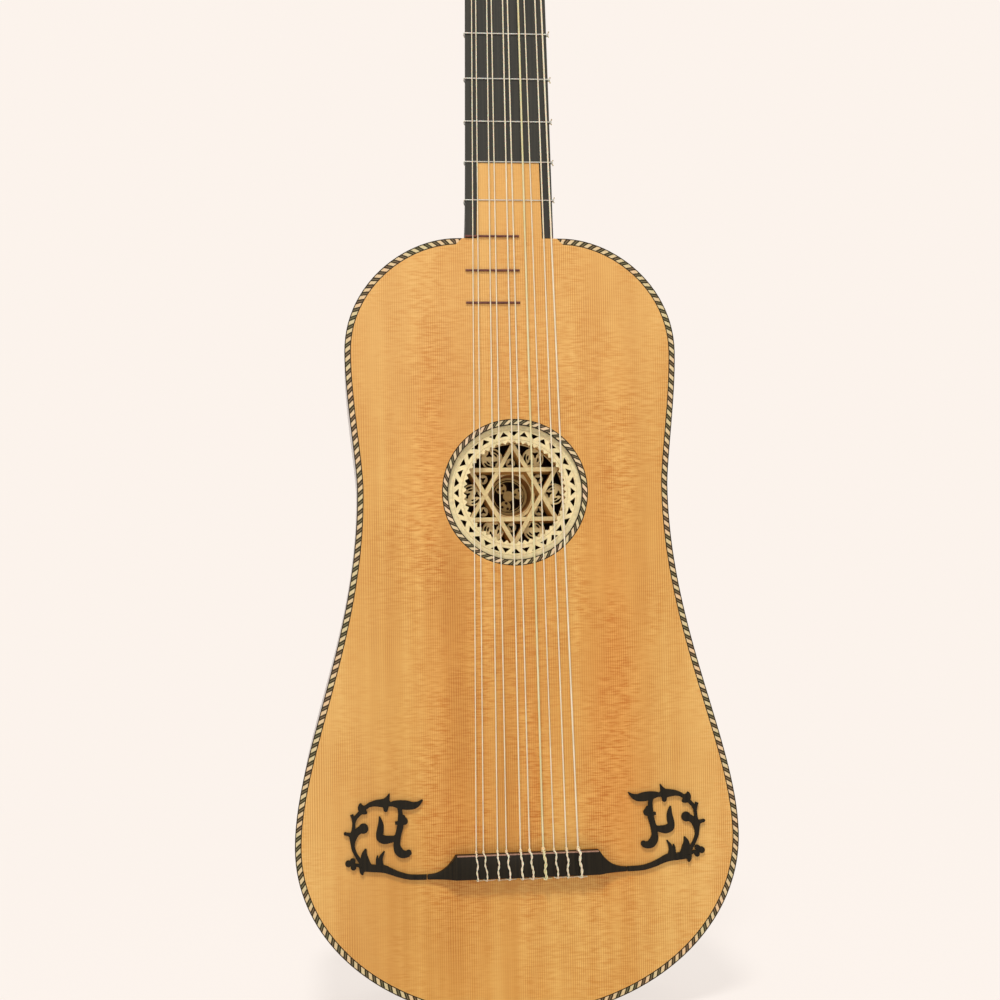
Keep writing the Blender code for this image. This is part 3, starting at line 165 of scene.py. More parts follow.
class Paint:
    """The node tree of a material or of the world, with short ways to add and join nodes."""

    def __init__(self, owner, shader="Principled BSDF"):
        owner.use_nodes = True
        self.owner = owner
        self.tree = owner.node_tree
        self.shader = self.tree.nodes[shader]

    def node(self, kind, **values):
        made = self.tree.nodes.new("ShaderNode" + kind)
        for key, value in values.items():
            setattr(made, key, value)
        return made

    def join(self, source, target):
        if hasattr(source, "is_output"):
            self.tree.links.new(source, target)
        else:
            target.default_value = source

    def fill(self, node, **values):
        """Joins values to a node's inputs by their names, and hands back the node's outputs."""
        for key, value in values.items():
            self.join(value, node.inputs[key.replace("_", " ")])
        return node.outputs

    def place(self, scale=(1, 1, 1), turn=(0, 0, 0)):
        """The object's own coordinates, stretched by a scale along each axis."""
        own = self.node("TexCoord").outputs["Object"]
        return self.fill(self.node("Mapping"), Vector=own, Scale=scale, Rotation=turn)["Vector"]

    def parts(self, vector):
        return self.fill(self.node("SeparateXYZ"), Vector=vector)

    def noise(self, scale, detail, roughness, distortion=0.0, turn=(0, 0, 0)):
        made = self.node("TexNoise")
        values = {"Detail": detail, "Roughness": roughness, "Distortion": distortion}
        return self.fill(made, Vector=self.place(scale, turn), Scale=1, **values)["Fac"]

    def ramp(self, value, *stops):
        """Colours or greys at places from 0 to 1."""
        made = self.node("ValToRGB")
        band = made.color_ramp
        while len(band.elements) < len(stops):
            band.elements.new(0.5)
        for element, (place, colour) in zip(band.elements, stops):
            element.position = place
            grey = (colour, colour, colour) if isinstance(colour, (int, float)) else colour
            element.color = (*grey, 1)
        return self.fill(made, Fac=value)["Color"]

    def math(self, operation, first, second=0.0):
        made = self.node("Math", operation=operation)
        self.join(first, made.inputs[0])
        self.join(second, made.inputs[1])
        return made.outputs[0]

    def times(self, first, second):
        return self.math("MULTIPLY", first, second)

    def mix(self, share, first, second, blend="MIX"):
        made = self.node("Mix", data_type="RGBA", blend_type=blend)
        self.join(share, made.inputs["Factor"])
        for colour, socket in ((first, made.inputs[6]), (second, made.inputs[7])):
            self.join((*colour, 1) if isinstance(colour, tuple) else colour, socket)
        return made.outputs[2]

    def multiplied(self, colour, other):
        return self.mix(1.0, colour, other, "MULTIPLY")

    def bump(self, height, strength, distance):
        made = self.node("Bump")
        self.set(Normal=self.fill(made, Strength=strength, Distance=distance, Height=height)["Normal"])

    def set(self, **values):
        self.fill(self.shader, **values)


def new_paint(name):
    return Paint(bpy.data.materials.new(name))


# Light, floor and backdrop

PALE = (0.974, 0.897, 0.838)
WORLD_LIGHT = 0.30
FLOOR_SIZE = 6
FLOOR_ROUGHNESS = 0.9
SHADOW_FADE = {"From_Min": 0.15, "From_Max": 0.90, "To_Min": 0.80, "To_Max": 1.00}

# Each lamp's place, the place it lights, its size and its power
LAMPS = {
    "key": ((-0.60, -2.4, 4.1), (0, 0, 0.20), 1.0, 152),
    "fill": ((-0.2, -2.2, 0.65), (0, 0, 0.05), 1.2, 8),
    "rear": ((0.6, 1.8, 1.6), (0, 0, 0.40), 1.2, 14),
}


def add_lamp(name, place, target, size, power):
    data = bpy.data.lights.new(name, "AREA")
    data.shape = "DISK"
    data.size = size
    data.energy = power
    lamp = new_object(name, data)
    lamp.location = place
    aim = Vector(target) - Vector(place)
    lamp.rotation_euler = aim.to_track_quat("-Z", "Y").to_euler()


def show_plain(paint, plain, output, share=1.0):
    """Shows a tree's shader as plain pale to the eye, in gloss and through glass, and lit as usual otherwise.
    A share below 1 lets some of the light and shadow on it show as well."""
    path = paint.node("LightPath").outputs
    seen = paint.math("MAXIMUM", path["Is Camera Ray"], path["Is Glossy Ray"])
    seen = paint.math("MAXIMUM", seen, path["Is Transmission Ray"])
    mix = paint.node("MixShader")
    paint.join(paint.times(seen, share), mix.inputs["Fac"])
    paint.join(paint.shader.outputs[0], mix.inputs[1])
    paint.join(paint.fill(paint.node(plain), Color=(*PALE, 1), Strength=1)[0], mix.inputs[2])
    paint.fill(paint.tree.nodes[output], Surface=mix.outputs[0])


def make_world():
    world = bpy.data.worlds.new("studio")
    bpy.context.scene.world = world
    paint = Paint(world, "Background")
    paint.set(Color=(1, 1, 1, 1), Strength=WORLD_LIGHT)
    show_plain(paint, "Background", "World Output")


def make_floor():
    shape = bmesh.new()
    bmesh.ops.create_grid(shape, x_segments=2, y_segments=2, size=FLOOR_SIZE)
    mesh = bpy.data.meshes.new("floor")
    shape.to_mesh(mesh)
    shape.free()
    floor = new_object("floor", mesh)
    paint = new_paint("floor")
    paint.set(Base_Color=(*PALE, 1), Roughness=FLOOR_ROUGHNESS)
    distance = paint.node("VectorMath", operation="LENGTH")
    paint.join(paint.node("TexCoord").outputs["Object"], distance.inputs[0])
    fade = paint.fill(paint.node("MapRange"), Value=distance.outputs["Value"], **SHADOW_FADE)
    show_plain(paint, "Emission", "Material Output", fade["Result"])
    mesh.materials.append(paint.owner)


# Making shapes

WELD = 0.000001
BEVELLED_FROM = math.radians(50)
ACROSS_STRIP = (0, 1, 1, 0)


def finished(shape, name):
    """The worked shape as a mesh, with its faces turned outwards."""
    bmesh.ops.recalc_face_normals(shape, faces=shape.faces)
    mesh = bpy.data.meshes.new(name)
    shape.to_mesh(mesh)
    shape.free()
    return mesh


def keep_mesh(helper, name):
    """The helper's evaluated surface as a mesh of its own, with the helper removed."""
    graph = bpy.context.evaluated_depsgraph_get()
    shape = bmesh.new()
    shape.from_mesh(bpy.data.meshes.new_from_object(helper.evaluated_get(graph)))
    bpy.data.objects.remove(helper, do_unlink=True)
    bmesh.ops.remove_doubles(shape, verts=shape.verts, dist=WELD)
    return finished(shape, name)


def plate(name, loops, low, high):
    """A flat piece between two heights: its outer loop, then the loops of its holes."""
    curve = bpy.data.curves.new(name, "CURVE")
    curve.dimensions = "2D"
    curve.fill_mode = "BOTH"
    curve.extrude = (high - low) / 2
    for loop in loops:
        spline = curve.splines.new("POLY")
        spline.points.add(len(loop) - 1)
        for point, place in zip(spline.points, loop):
            point.co = (place[0], place[1], 0, 1)
        spline.use_cyclic_u = True
    mesh = keep_mesh(new_object("helper", curve), name)
    mesh.transform(Matrix.Translation((0, 0, (low + high) / 2)))
    return mesh


def upright_plate(name, loop, near, far):
    """A profile drawn in X and Z, standing between two places along Y."""
    mesh = plate(name, [loop], -far, -near)
    mesh.transform(Matrix.Rotation(math.radians(90), 4, "X"))
    return mesh


def turned(name, profile, steps, closed=False):
    """A profile of radius and height turned round the Z axis."""
    mesh = bpy.data.meshes.new(name)
    count = len(profile)
    edges = [(index, index + 1) for index in range(count - 1)]
    if closed:
        edges.append((count - 1, 0))
    mesh.from_pydata([(radius, 0, height) for radius, height in profile], edges, [])
    helper = new_object("helper", mesh)
    screw = helper.modifiers.new("turn", "SCREW")
    screw.axis = "Z"
    screw.steps = steps
    screw.render_steps = steps
    screw.use_merge_vertices = True
    screw.merge_threshold = WELD
    return keep_mesh(helper, name)


def together(name, meshes):
    shape = bmesh.new()
    for mesh in meshes:
        shape.from_mesh(mesh)
    mesh = bpy.data.meshes.new(name)
    shape.to_mesh(mesh)
    shape.free()
    return mesh


def combined(name, first, second, operation):
    """The first mesh joined with the second, cut by it, or the part that both share."""
    base = new_object("helper", first)
    other = new_object("helper", second)
    step = base.modifiers.new("combine", "BOOLEAN")
    step.operation = operation
    step.solver = "EXACT"
    step.use_self = operation == "UNION"
    step.object = other
    mesh = keep_mesh(base, name)
    bpy.data.objects.remove(other, do_unlink=True)
    return mesh


def bevelled(name, mesh, width, segments):
    helper = new_object("helper", mesh)
    step = helper.modifiers.new("edges", "BEVEL")
    step.width = width
    step.segments = segments
    step.limit_method = "ANGLE"
    step.angle_limit = BEVELLED_FROM
    return keep_mesh(helper, name)


def point_at(points, index, closed):
    """A path's point by its number: round and round a closed path, no further than an open path's ends."""
    last = len(points) - 1
    return points[index % (last + 1) if closed else min(max(index, 0), last)]


def smooth_path(places, steps, closed=False):
    """Points on a smooth curve through the given places."""
    points = [Vector(place) for place in places]
    result = []
    for index in range(len(points) if closed else len(points) - 1):
        before, start, end, after = (point_at(points, index + shift, closed) for shift in (-1, 0, 1, 2))
        for step in range(steps):
            t = step / steps
            first = 2 * start
            second = (end - before) * t
            third = (2 * before - 5 * start + 4 * end - after) * t * t
            fourth = (3 * start - before - 3 * end + after) * t**3
            result.append((first + second + third + fourth) / 2)
    if not closed:
        result.append(points[-1])
    return result


def path_frames(points, closed=False):
    """Two directions square to the path at each point, turning as little as they can."""
    side = None
    frames = []
    for index in range(len(points)):
        run = point_at(points, index + 1, closed) - point_at(points, index - 1, closed)
        tangent = run.normalized()
        side = side or tangent.orthogonal().normalized()
        side = (side - tangent * side.dot(tangent)).normalized()
        frames.append((side, tangent.cross(side)))
    return frames


def skin(name, rings, closed=False):
    """Faces between rings of points, with a flat face at both ends unless the path is closed."""
    shape = bmesh.new()
    made = [[shape.verts.new(place) for place in ring] for ring in rings]
    sides = len(rings[0])
    for ring, following in zip(made, made[1:] + made[:1] if closed else made[1:]):
        for index in range(sides):
            after = (index + 1) % sides
            shape.faces.new((ring[index], ring[after], following[after], following[index]))
    if not closed:
        shape.faces.new(made[0])
        shape.faces.new(made[-1])
    return finished(shape, name)


def strip_mesh(name, runs, capped):
    """Runs of four-cornered rings, welded where they meet, each ring with its place along the strip in
    stripes. The strip's own coordinates are that place and 0 at the outer edge to 1 at the inner edge."""
    shape = bmesh.new()
    strip = shape.loops.layers.uv.new("strip")
    for rings, stripes in runs:
        rows = [[shape.verts.new(place) for place in ring] for ring in rings]
        for index in range(len(rows) - 1):
            for number in range(4):
                after = (number + 1) % 4
                corners = ((index, number), (index, after), (index + 1, after), (index + 1, number))
                face = shape.faces.new([rows[row][column] for row, column in corners])
                for loop, (row, column) in zip(face.loops, corners):
                    loop[strip].uv = (stripes[row], ACROSS_STRIP[column])
        if capped:
            shape.faces.new(rows[0])
    bmesh.ops.remove_doubles(shape, verts=shape.verts, dist=WELD)
    bmesh.ops.dissolve_degenerate(shape, edges=shape.edges, dist=WELD / 10)
    return finished(shape, name)


def wire(name, points, radius, sides=8, closed=False):
    """A round wire through the points. Its radius is one number or one for each point."""
    points = [Vector(point) for point in points]
    radii = radius if isinstance(radius, list) else [radius] * len(points)
    rings = []
    for point, (side, up), reach in zip(points, path_frames(points, closed), radii):
        rings.append([point + x * side + y * up for x, y in circle((0, 0), reach, sides)])
    return skin(name, rings, closed)


def angles(count, start=0.0):
    """Equal turns right round."""
    return [start + math.tau * index / count for index in range(count)]


def polar(radius, angle, centre=(0.0, 0.0)):
    return (centre[0] + radius * math.cos(angle), centre[1] + radius * math.sin(angle))


def circle(centre, radius, count, turn=0.0):
    return [polar(radius, angle, centre) for angle in angles(count, turn)]


def mirrored(loop):
    return [(-place[0], place[1]) for place in reversed(loop)]


def both_halves(half):
    """A right half that ends on the middle line, then its mirror image back up."""
    return half + mirrored(half)[1:]


def bezier(start, first, second, end, steps):
    """Points along a cubic curve, without its last one."""
    points = []
    for step in range(steps):
        t = step / steps
        s = 1 - t
        points.append(s**3 * start + 3 * s * s * t * first + 3 * s * t * t * second + t**3 * end)
    return points


def curves(corners, bends, in_spans=False):
    """Points along one curve after another. A bend is how a curve leaves its corner and how it comes in to
    the next, in metres or in spans between the two, and its number of steps."""
    points = []
    for start, end, (leave, arrive, steps) in zip(corners, corners[1:], bends):
        start = Vector(start)
        end = Vector(end)
        unit = (end - start).length if in_spans else 1
        points += bezier(start, start + unit * Vector(leave), end + unit * Vector(arrive), end, steps)
    return points + [Vector(corners[-1])]


def add_piece(name, mesh, material, nodes=(), body="guitar", at=BENCH, angle=35):
    """One named piece in its place, riding on a body and standing for the nodes it covers."""
    mesh.transform(at)
    if at.determinant() < 0:
        mesh.flip_normals()
    mesh.shade_smooth()
    mesh.set_sharp_from_angle(angle=math.radians(angle))
    mesh.materials.clear()
    mesh.materials.append(material)
    piece = new_object(name, mesh)
    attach(piece, body)
    if nodes:
        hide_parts(*nodes)
    return piece


def line_inside(piece, material):
    """Gives the faces that look into the body a material of their own: a darker one that is painted shade for
    the inside of the body.
    """
    piece.data.materials.append(material)
    middle = BENCH @ Vector((0, BODY_LENGTH / 2, -BODY_DEPTH / 2))
    for face in piece.data.polygons:
        if face.normal.dot(middle - face.center) > 0:
            face.material_index = 1


def dress(node, material):
    """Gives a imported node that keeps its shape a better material."""
    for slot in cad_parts[node].material_slots:
        slot.material = material


# Materials

GRAIN_SCALE = 242

# Warmer columns of the spruce, from its left edge at 0 to its right edge at 1
SPRUCE_ZONES = (
    (0.22, 0.0), (0.33, 0.85), (0.40, 0.75), (0.45, 0.20), (0.52, 0.70), (0.60, 0.15), (0.68, 0.80),
    (0.74, 0.90), (0.84, 0.0),
)

# One turn of the rope: a light strip and a dark one with a paler line in it
ROPE_TURN = (
    (0.00, 1.0), (0.38, 1.0), (0.45, 0.0), (0.60, 0.0), (0.66, 0.22), (0.74, 0.22), (0.80, 0.0), (0.94, 0.0),
    (1.00, 1.0),
)
ROPE_LINES = ((0.0, 1.0), (0.13, 1.0), (0.17, 0.0), (0.83, 0.0), (0.87, 1.0))


def spruce_paint():
    """Varnished spruce: fine upright grain lines, warm and pale columns, and patches of cross figure."""
    paint = new_paint("spruce_varnished")
    columns = paint.noise((80, 40, 2.5), 2, 0.5)
    drift = paint.noise((15, 15, 4), 2, 0.5)
    tone = paint.math("ADD", paint.times(columns, 0.5), paint.times(drift, 0.5))
    base = paint.ramp(
        tone, (0.36, (0.540, 0.250, 0.046)), (0.50, (0.620, 0.322, 0.073)), (0.63, (0.690, 0.405, 0.110))
    )
    where = paint.parts(paint.place())
    height = where["Z"]
    at_neck = paint.ramp(height, (0.25, 0.0), (0.42, 0.60))
    at_edges = paint.ramp(paint.math("ABSOLUTE", where["X"]), (0.060, 0.0), (0.125, 0.50))
    base = paint.mix(paint.math("MAXIMUM", at_neck, at_edges), base, (0.715, 0.410, 0.130))
    bend = paint.math("SUBTRACT", paint.noise((9, 9, 5), 2, 0.5), 0.5)
    across = paint.math("ADD", where["X"], paint.times(bend, 0.035))
    across = paint.math("ADD", paint.times(across, 1 / (2 * WIDEST_HALF)), 0.5)
    lower = paint.ramp(height, (0.04, 0.15), (0.12, 1.0), (0.33, 1.0), (0.42, 0.20))
    zone = paint.times(paint.ramp(across, *SPRUCE_ZONES), lower)
    warm = paint.times(zone, paint.ramp(drift, (0.34, 0.20), (0.58, 1.0)))
    base = paint.mix(warm, base, (0.615, 0.262, 0.048))

    grain = paint.node("TexWave", wave_type="BANDS", bands_direction="X")
    paint.fill(grain, Vector=paint.place((1, 1, 0.02)), Scale=GRAIN_SCALE)
    grain = paint.fill(grain, Distortion=5, Detail=1, Detail_Scale=0.25)["Fac"]
    patch = paint.ramp(paint.noise((38, 38, 15), 2, 0.6), (0.36, 0.12), (0.62, 0.95))
    on_body = paint.ramp(height, (BODY_LENGTH - 0.004, 1.0), (BODY_LENGTH + 0.012, 0.35))
    line = paint.times(paint.times(paint.ramp(grain, (0.15, 1.0), (0.60, 0.0)), patch), on_body)
    base = paint.mix(line, base, paint.multiplied(base, (0.800, 0.660, 0.500)))

    fleck = paint.noise((130, 130, 1000), 2, 0.60, 0.3)
    figure = paint.ramp(paint.noise((30, 30, 9), 3, 0.65), (0.36, 0.15), (0.60, 1.0))
    figure = paint.times(figure, paint.ramp(zone, (0.0, 0.45), (0.6, 1.0)))
    figure = paint.times(figure, on_body)
    dark = paint.times(paint.ramp(fleck, (0.51, 0.0), (0.62, 1.0)), figure)
    base = paint.mix(dark, base, paint.multiplied(base, (0.850, 0.660, 0.440)))
    light = paint.times(paint.ramp(fleck, (0.37, 0.9), (0.47, 0.0)), figure)
    base = paint.mix(light, base, paint.multiplied(base, (1.120, 1.220, 1.400)))
    paint.set(Base_Color=base, Roughness=0.42, Specular_IOR_Level=0.30)
    paint.bump(grain, 0.10, 0.0002)
    return paint.owner


def dark_wood_paint(name, dark, light, roughness, gloss, grain_scale=(900, 900, 14)):
    """A close-grained hardwood with fine pores along the neck."""
    paint = new_paint(name)
    grain = paint.noise(grain_scale, 3, 0.6)
    rough = paint.ramp(grain, (0.3, roughness), (0.7, roughness + 0.14))
    colour = paint.ramp(grain, (0.35, dark), (0.70, light))
    paint.set(Base_Color=colour, Roughness=rough, Specular_IOR_Level=gloss)
    paint.bump(grain, 0.12, 0.0002)
    return paint.owner


def rib_paint():
    """Figured brown hardwood for the sides and back: flowing dark streaks under a clear varnish."""
    paint = new_paint("rib_wood_varnished")
    base = paint.ramp(
        paint.noise((30, 30, 3.2), 4, 0.55, 1.2),
        (0.30, (0.060, 0.020, 0.008)),
        (0.48, (0.160, 0.062, 0.022)),
        (0.62, (0.245, 0.105, 0.040)),
        (0.75, (0.300, 0.140, 0.060)),
    )
    pores = paint.noise((1400, 1400, 40), 2, 0.6)
    coloured = paint.multiplied(base, paint.ramp(pores, (0.34, 0.62), (0.52, 1.0)))
    paint.set(Base_Color=coloured, Roughness=0.30, Coat_Weight=0.5, Coat_Roughness=0.12)
    paint.bump(pores, 0.06, 0.0002)
    return paint.owner


def bare_wood_paint(name, dark, light):
    paint = new_paint(name)
    grain = paint.noise((500, 500, 8), 3, 0.6)
    colour = paint.ramp(grain, (0.32, dark), (0.68, light))
    paint.set(Base_Color=colour, Roughness=0.85, Specular_IOR_Level=0.1)
    paint.bump(grain, 0.15, 0.0003)
    return paint.owner


def rope_paint(name, light, dark, line, slant):
    """Slanting light and dark strips between two dark lines. The strip's own coordinates run along it in
    stripes, X, and across it from its outer edge at 0 to its inner edge at 1, Y."""
    paint = new_paint(name)
    strip = paint.parts(paint.node("UVMap", uv_map="strip").outputs["UV"])
    wobble = paint.math("SUBTRACT", paint.noise((260, 260, 260), 2, 0.5), 0.5)
    leaning = paint.math("ADD", strip["X"], paint.times(strip["Y"], slant))
    leaning = paint.math("ADD", leaning, paint.times(wobble, 0.10))
    stripe = paint.ramp(paint.math("FRACT", leaning), *ROPE_TURN)
    tint = paint.noise((110, 110, 110), 1, 0.5)
    lit = paint.mix(paint.ramp(tint, (0.35, 0.0), (0.65, 1.0)), *light)
    shade = paint.mix(paint.ramp(tint, (0.40, 0.0), (0.60, 1.0)), *dark)
    body = paint.mix(stripe, shade, lit)
    colour = paint.mix(paint.ramp(strip["Y"], *ROPE_LINES), body, line)
    paint.set(Base_Color=colour, Roughness=0.45, Specular_IOR_Level=0.15)
    return paint.owner


def parchment_paint(name, face, wall_colour_with_shade):
    """Cream parchment, mottled, whose cut edges and upright walls are a warm brown: the edges' own colour,
    with painted shade in it for the walls.
    """
    paint = new_paint(name)
    mottle = paint.noise((420, 420, 420), 4, 0.6)
    flat = paint.multiplied(face, paint.ramp(mottle, (0.3, 0.80), (0.7, 1.06)))
    # Upright walls take the brown wall colour: partly the parchment's cut edges, partly painted shade down the
    # walls.
    walls = paint.multiplied(wall_colour_with_shade, paint.ramp(mottle, (0.3, 0.85), (0.7, 1.08)))
    facing = paint.parts(paint.node("NewGeometry").outputs["Normal"])
    upright = paint.math("SUBTRACT", 1.0, paint.math("ABSOLUTE", facing["Y"]))
    paint.set(Base_Color=paint.mix(paint.ramp(upright, (0.35, 0.0), (0.75, 1.0)), flat, walls))
    paint.set(Roughness=0.62, Specular_IOR_Level=0.15, Subsurface_Weight=0.05, Subsurface_Scale=0.0008)
    paint.bump(mottle, 0.10, 0.0002)
    return paint.owner


def gut_paint(name, pale, warm):
    """Twisted gut: pale, a little clear, with its lay winding round it."""
    paint = new_paint(name)
    tone = paint.noise((140, 140, 60), 2, 0.5)
    paint.set(Base_Color=paint.ramp(tone, (0.35, pale), (0.65, warm)), Roughness=0.42)
    paint.set(Subsurface_Weight=0.15, Subsurface_Scale=0.0006)
    paint.bump(paint.noise((1500, 1500, 900), 1, 0.5, turn=(0.5, 0.3, 0)), 0.135, 0.0001)
    return paint.owner


def bone_paint():
    paint = new_paint("nut_bone")
    cloud = paint.noise((300, 300, 300), 3, 0.5)
    colour = paint.ramp(cloud, (0.3, (0.72, 0.66, 0.52)), (0.7, (0.84, 0.80, 0.69)))
    paint.set(Base_Color=colour, Roughness=0.30, Subsurface_Weight=0.1, Subsurface_Scale=0.001)
    paint.bump(cloud, 0.05, 0.0001)
    return paint.owner


SPRUCE = spruce_paint()
BOARD_EBONY = dark_wood_paint("fingerboard_ebony", (0.017, 0.016, 0.011), (0.032, 0.029, 0.020), 0.40, 0.30)
EBONY = dark_wood_paint("ebony_oiled", (0.007, 0.005, 0.002), (0.018, 0.013, 0.006), 0.45, 0.15)
FRET_WOOD = dark_wood_paint(
    "fret_hardwood", (0.085, 0.022, 0.014), (0.170, 0.055, 0.035), 0.40, 0.4, (300, 900, 900)
)
# A lighter reddish wood for the strip on the bridge's front edge: a painted highlight where light falls on the
# front face.
BRIDGE_FRONT_HIGHLIGHT_WOOD = dark_wood_paint("bridge_front_painted_highlight", (0.220, 0.110, 0.070), (0.380, 0.220, 0.150), 0.40, 0.4)
RIB_WOOD = rib_paint()
INSIDE_WOOD = bare_wood_paint("inside_wood_bare", (0.46, 0.31, 0.16), (0.66, 0.49, 0.30))
# Unvarnished wood for the inner faces of the sides and back, darker than the wood itself: painted shade for
# the dark inside of the body.
RIB_WOOD_BARE_PAINTED_SHADE = bare_wood_paint("rib_wood_bare_painted_shade", (0.055, 0.022, 0.012), (0.120, 0.055, 0.030))
BONE = bone_paint()
RING_ROPE = rope_paint(
    "rope_ring_inlay",
    ((0.600, 0.500, 0.280), (0.720, 0.520, 0.330)),
    ((0.020, 0.018, 0.004), (0.030, 0.016, 0.005)),
    (0.018, 0.010, 0.003),
    0.80,
)
EDGE_ROPE = rope_paint(
    "rope_edge_inlay",
    ((0.600, 0.500, 0.270), (0.700, 0.480, 0.270)),
    ((0.022, 0.021, 0.005), (0.036, 0.020, 0.007)),
    (0.022, 0.013, 0.004),
    0.62,
)
# Each deeper tier is darker and browner than the rim: partly aged parchment, partly painted shade for its
# depth below the rim.
PARCHMENT_RIM = parchment_paint("parchment_rim", (0.830, 0.690, 0.385), (0.380, 0.200, 0.060))
PARCHMENT_STAR = parchment_paint("parchment_star", (0.710, 0.550, 0.270), (0.460, 0.235, 0.060))
PARCHMENT_WELL = parchment_paint("parchment_well", (0.560, 0.380, 0.140), (0.300, 0.140, 0.035))
STRING_GUT = gut_paint("string_gut", (0.700, 0.610, 0.420), (0.800, 0.710, 0.520))
THICK_STRING_GUT = gut_paint("thick_string_gut", (0.620, 0.550, 0.280), (0.710, 0.640, 0.380))
FRET_GUT = gut_paint("fret_gut", (0.460, 0.440, 0.380), (0.620, 0.600, 0.520))
SINGED_GUT = gut_paint("singed_gut", (0.320, 0.220, 0.070), (0.480, 0.380, 0.160))
KNOT_GUT = gut_paint("knot_gut", (0.820, 0.560, 0.270), (0.880, 0.690, 0.400))
THICKEST = max(STRING_DIAMETER)
STRING_PAINTS = [THICK_STRING_GUT if diameter == THICKEST else STRING_GUT for diameter in STRING_DIAMETER]


# Body: outline, soundboard, bindings, sides and back

# The right half of the body's edge, from the neck joint round to the tail
BODY_CORNERS = ((0.0309, BODY_LENGTH), (0.0988, 0.3919), (0.0925, 0.3107), (WIDEST_HALF, 0.1033), (0, 0))
BODY_BENDS = (
    ((0.0322, 0), (0, 0.0400), 26),
    ((0, -0.0279), (0, 0.0164), 16),
    ((0, -0.0856), (0, 0.0538), 34),
    ((0, -0.0572), (0.0740, 0), 40),
)
STRIPE_LENGTH = 0.0055
STRIPE_STARTS = ((1, 0.30), (-1, 0.52))
RING_STEPS = 188
RING_STRIPES = 47
RING_STRIPE_START = 0.40
PLATE_JOINT = 0.0001


def outline_half(start_x):
    """The right half of the body's edge, from start_x on the neck joint round to the tail."""
    return [Vector((start_x, BODY_LENGTH))] + curves(BODY_CORNERS, BODY_BENDS)


def inset(path, distance):
    """The path moved inwards, square to itself, with both ends level."""
    moved = []
    last = len(path) - 1
    for index, point in enumerate(path):
        if index in (0, last):
            inward = Vector((0, -1 if index == 0 else 1))
        else:
            run = (path[index + 1] - path[index - 1]).normalized()
            inward = Vector((run.y, -run.x))
        moved.append(point + distance * inward)
    return moved


def strip_edges(start_x, width, slant):
    """The outer and inner edges of a strip round the right half, with its start cut at a slant."""
    outer = outline_half(start_x)
    inner = inset(outer, width)
    corner = Vector((start_x + slant, inner[0].y))
    kept = []
    for place in inner:
        behind = place.x < corner.x and place.y > ROSE_Y
        kept.append(corner.copy() if behind else place)
    return outer, kept


def binding_mesh(name, start_x, width, slant, low, high):
    """A strip round the whole edge, one half at a time from the neck down to the tail."""
    outer, inner = strip_edges(start_x, width, slant)
    lengths = [0.0]
    for before, after in zip(outer, outer[1:]):
        lengths.append(lengths[-1] + (after - before).length)
    runs = []
    for side, start in STRIPE_STARTS:
        rings = []
        for outside, inside in zip(outer, inner):
            corners = ((outside, high), (inside, high), (inside, low), (outside, low))
            rings.append([(side * place.x, place.y, z) for place, z in corners])
        runs.append((rings, [length / STRIPE_LENGTH + start for length in lengths]))
    return strip_mesh(name, runs, True)


def make_soundboard():
    inner = strip_edges(BINDING_START, BINDING_WIDTH, BINDING_SLANT)[1]
    half = [
        (TONGUE_HALF_AT_TIP, BODY_LENGTH + TONGUE_LENGTH),
        (TONGUE_HALF_AT_BODY, BODY_LENGTH),
        (BINDING_START, BODY_LENGTH),
    ]
    for before, place in zip([None] + inner, inner):
        if place != before:
            half.append(tuple(place))
    hole = circle((ROSE_X, ROSE_Y), ROPE_RING_RADIUS, 144)
    mesh = plate("soundboard", [both_halves(half), hole], -BOARD_THICKNESS, 0)
    add_piece("board", mesh, SPRUCE, ["soundboard"])


def make_rope_ring():
    """The rope ring let in round the rose."""
    radii = (ROPE_RING_RADIUS, ROSE_HOLE_RADIUS, ROSE_HOLE_RADIUS, ROPE_RING_RADIUS)
    heights = (0, 0, -BOARD_THICKNESS, -BOARD_THICKNESS)
    rings = []
    stripes = []
    for step in range(RING_STEPS + 1):
        share = step / RING_STEPS
        places = [polar(radius, math.tau * (0.25 - share), (ROSE_X, ROSE_Y)) for radius in radii]
        rings.append([(*place, height) for place, height in zip(places, heights)])
        stripes.append(RING_STRIPES * share + RING_STRIPE_START)
    mesh = strip_mesh("rope_ring", [(rings, stripes)], False)
    add_piece("rope_ring", mesh, RING_ROPE, ["rose_rope_ring"])


def make_shell():
    """Bindings, sides and back follow the same edge."""
    mesh = binding_mesh("front_binding", BINDING_START, BINDING_WIDTH, BINDING_SLANT, -BOARD_THICKNESS, 0)
    add_piece("front_binding", mesh, EDGE_ROPE, ["soundboard_binding"])
    back_top = -BODY_DEPTH + BACK_THICKNESS
    mesh = binding_mesh("rear_binding", PLATE_JOINT, BACK_BINDING_WIDTH, 0, -BODY_DEPTH, back_top)
    add_piece("rear_binding", mesh, EDGE_ROPE, ["back_binding"])
    inner = [tuple(place) for place in inset(outline_half(0), BACK_BINDING_WIDTH)]
    inner[0] = (PLATE_JOINT, inner[0][1])
    inner[-1] = (PLATE_JOINT, inner[-1][1])
    for name, loop in (("back_plate_right", inner), ("back_plate_left", mirrored(inner))):
        mesh = plate(name, [loop], -BODY_DEPTH, back_top)
        line_inside(add_piece(name + "_wood", mesh, RIB_WOOD, [name]), RIB_WOOD_BARE_PAINTED_SHADE)
    outer = outline_half(PLATE_JOINT)
    outer[-1].x = PLATE_JOINT
    wall = inset(outer, SIDE_THICKNESS)
    loop = [tuple(place) for place in outer] + [tuple(place) for place in wall[::-1]]
    for name, shape in (("side_right", loop), ("side_left", mirrored(loop))):
        mesh = plate(name, [shape], back_top, -BOARD_THICKNESS)
        line_inside(add_piece(name + "_wood", mesh, RIB_WOOD, [name], angle=50), RIB_WOOD_BARE_PAINTED_SHADE)


# Neck and head

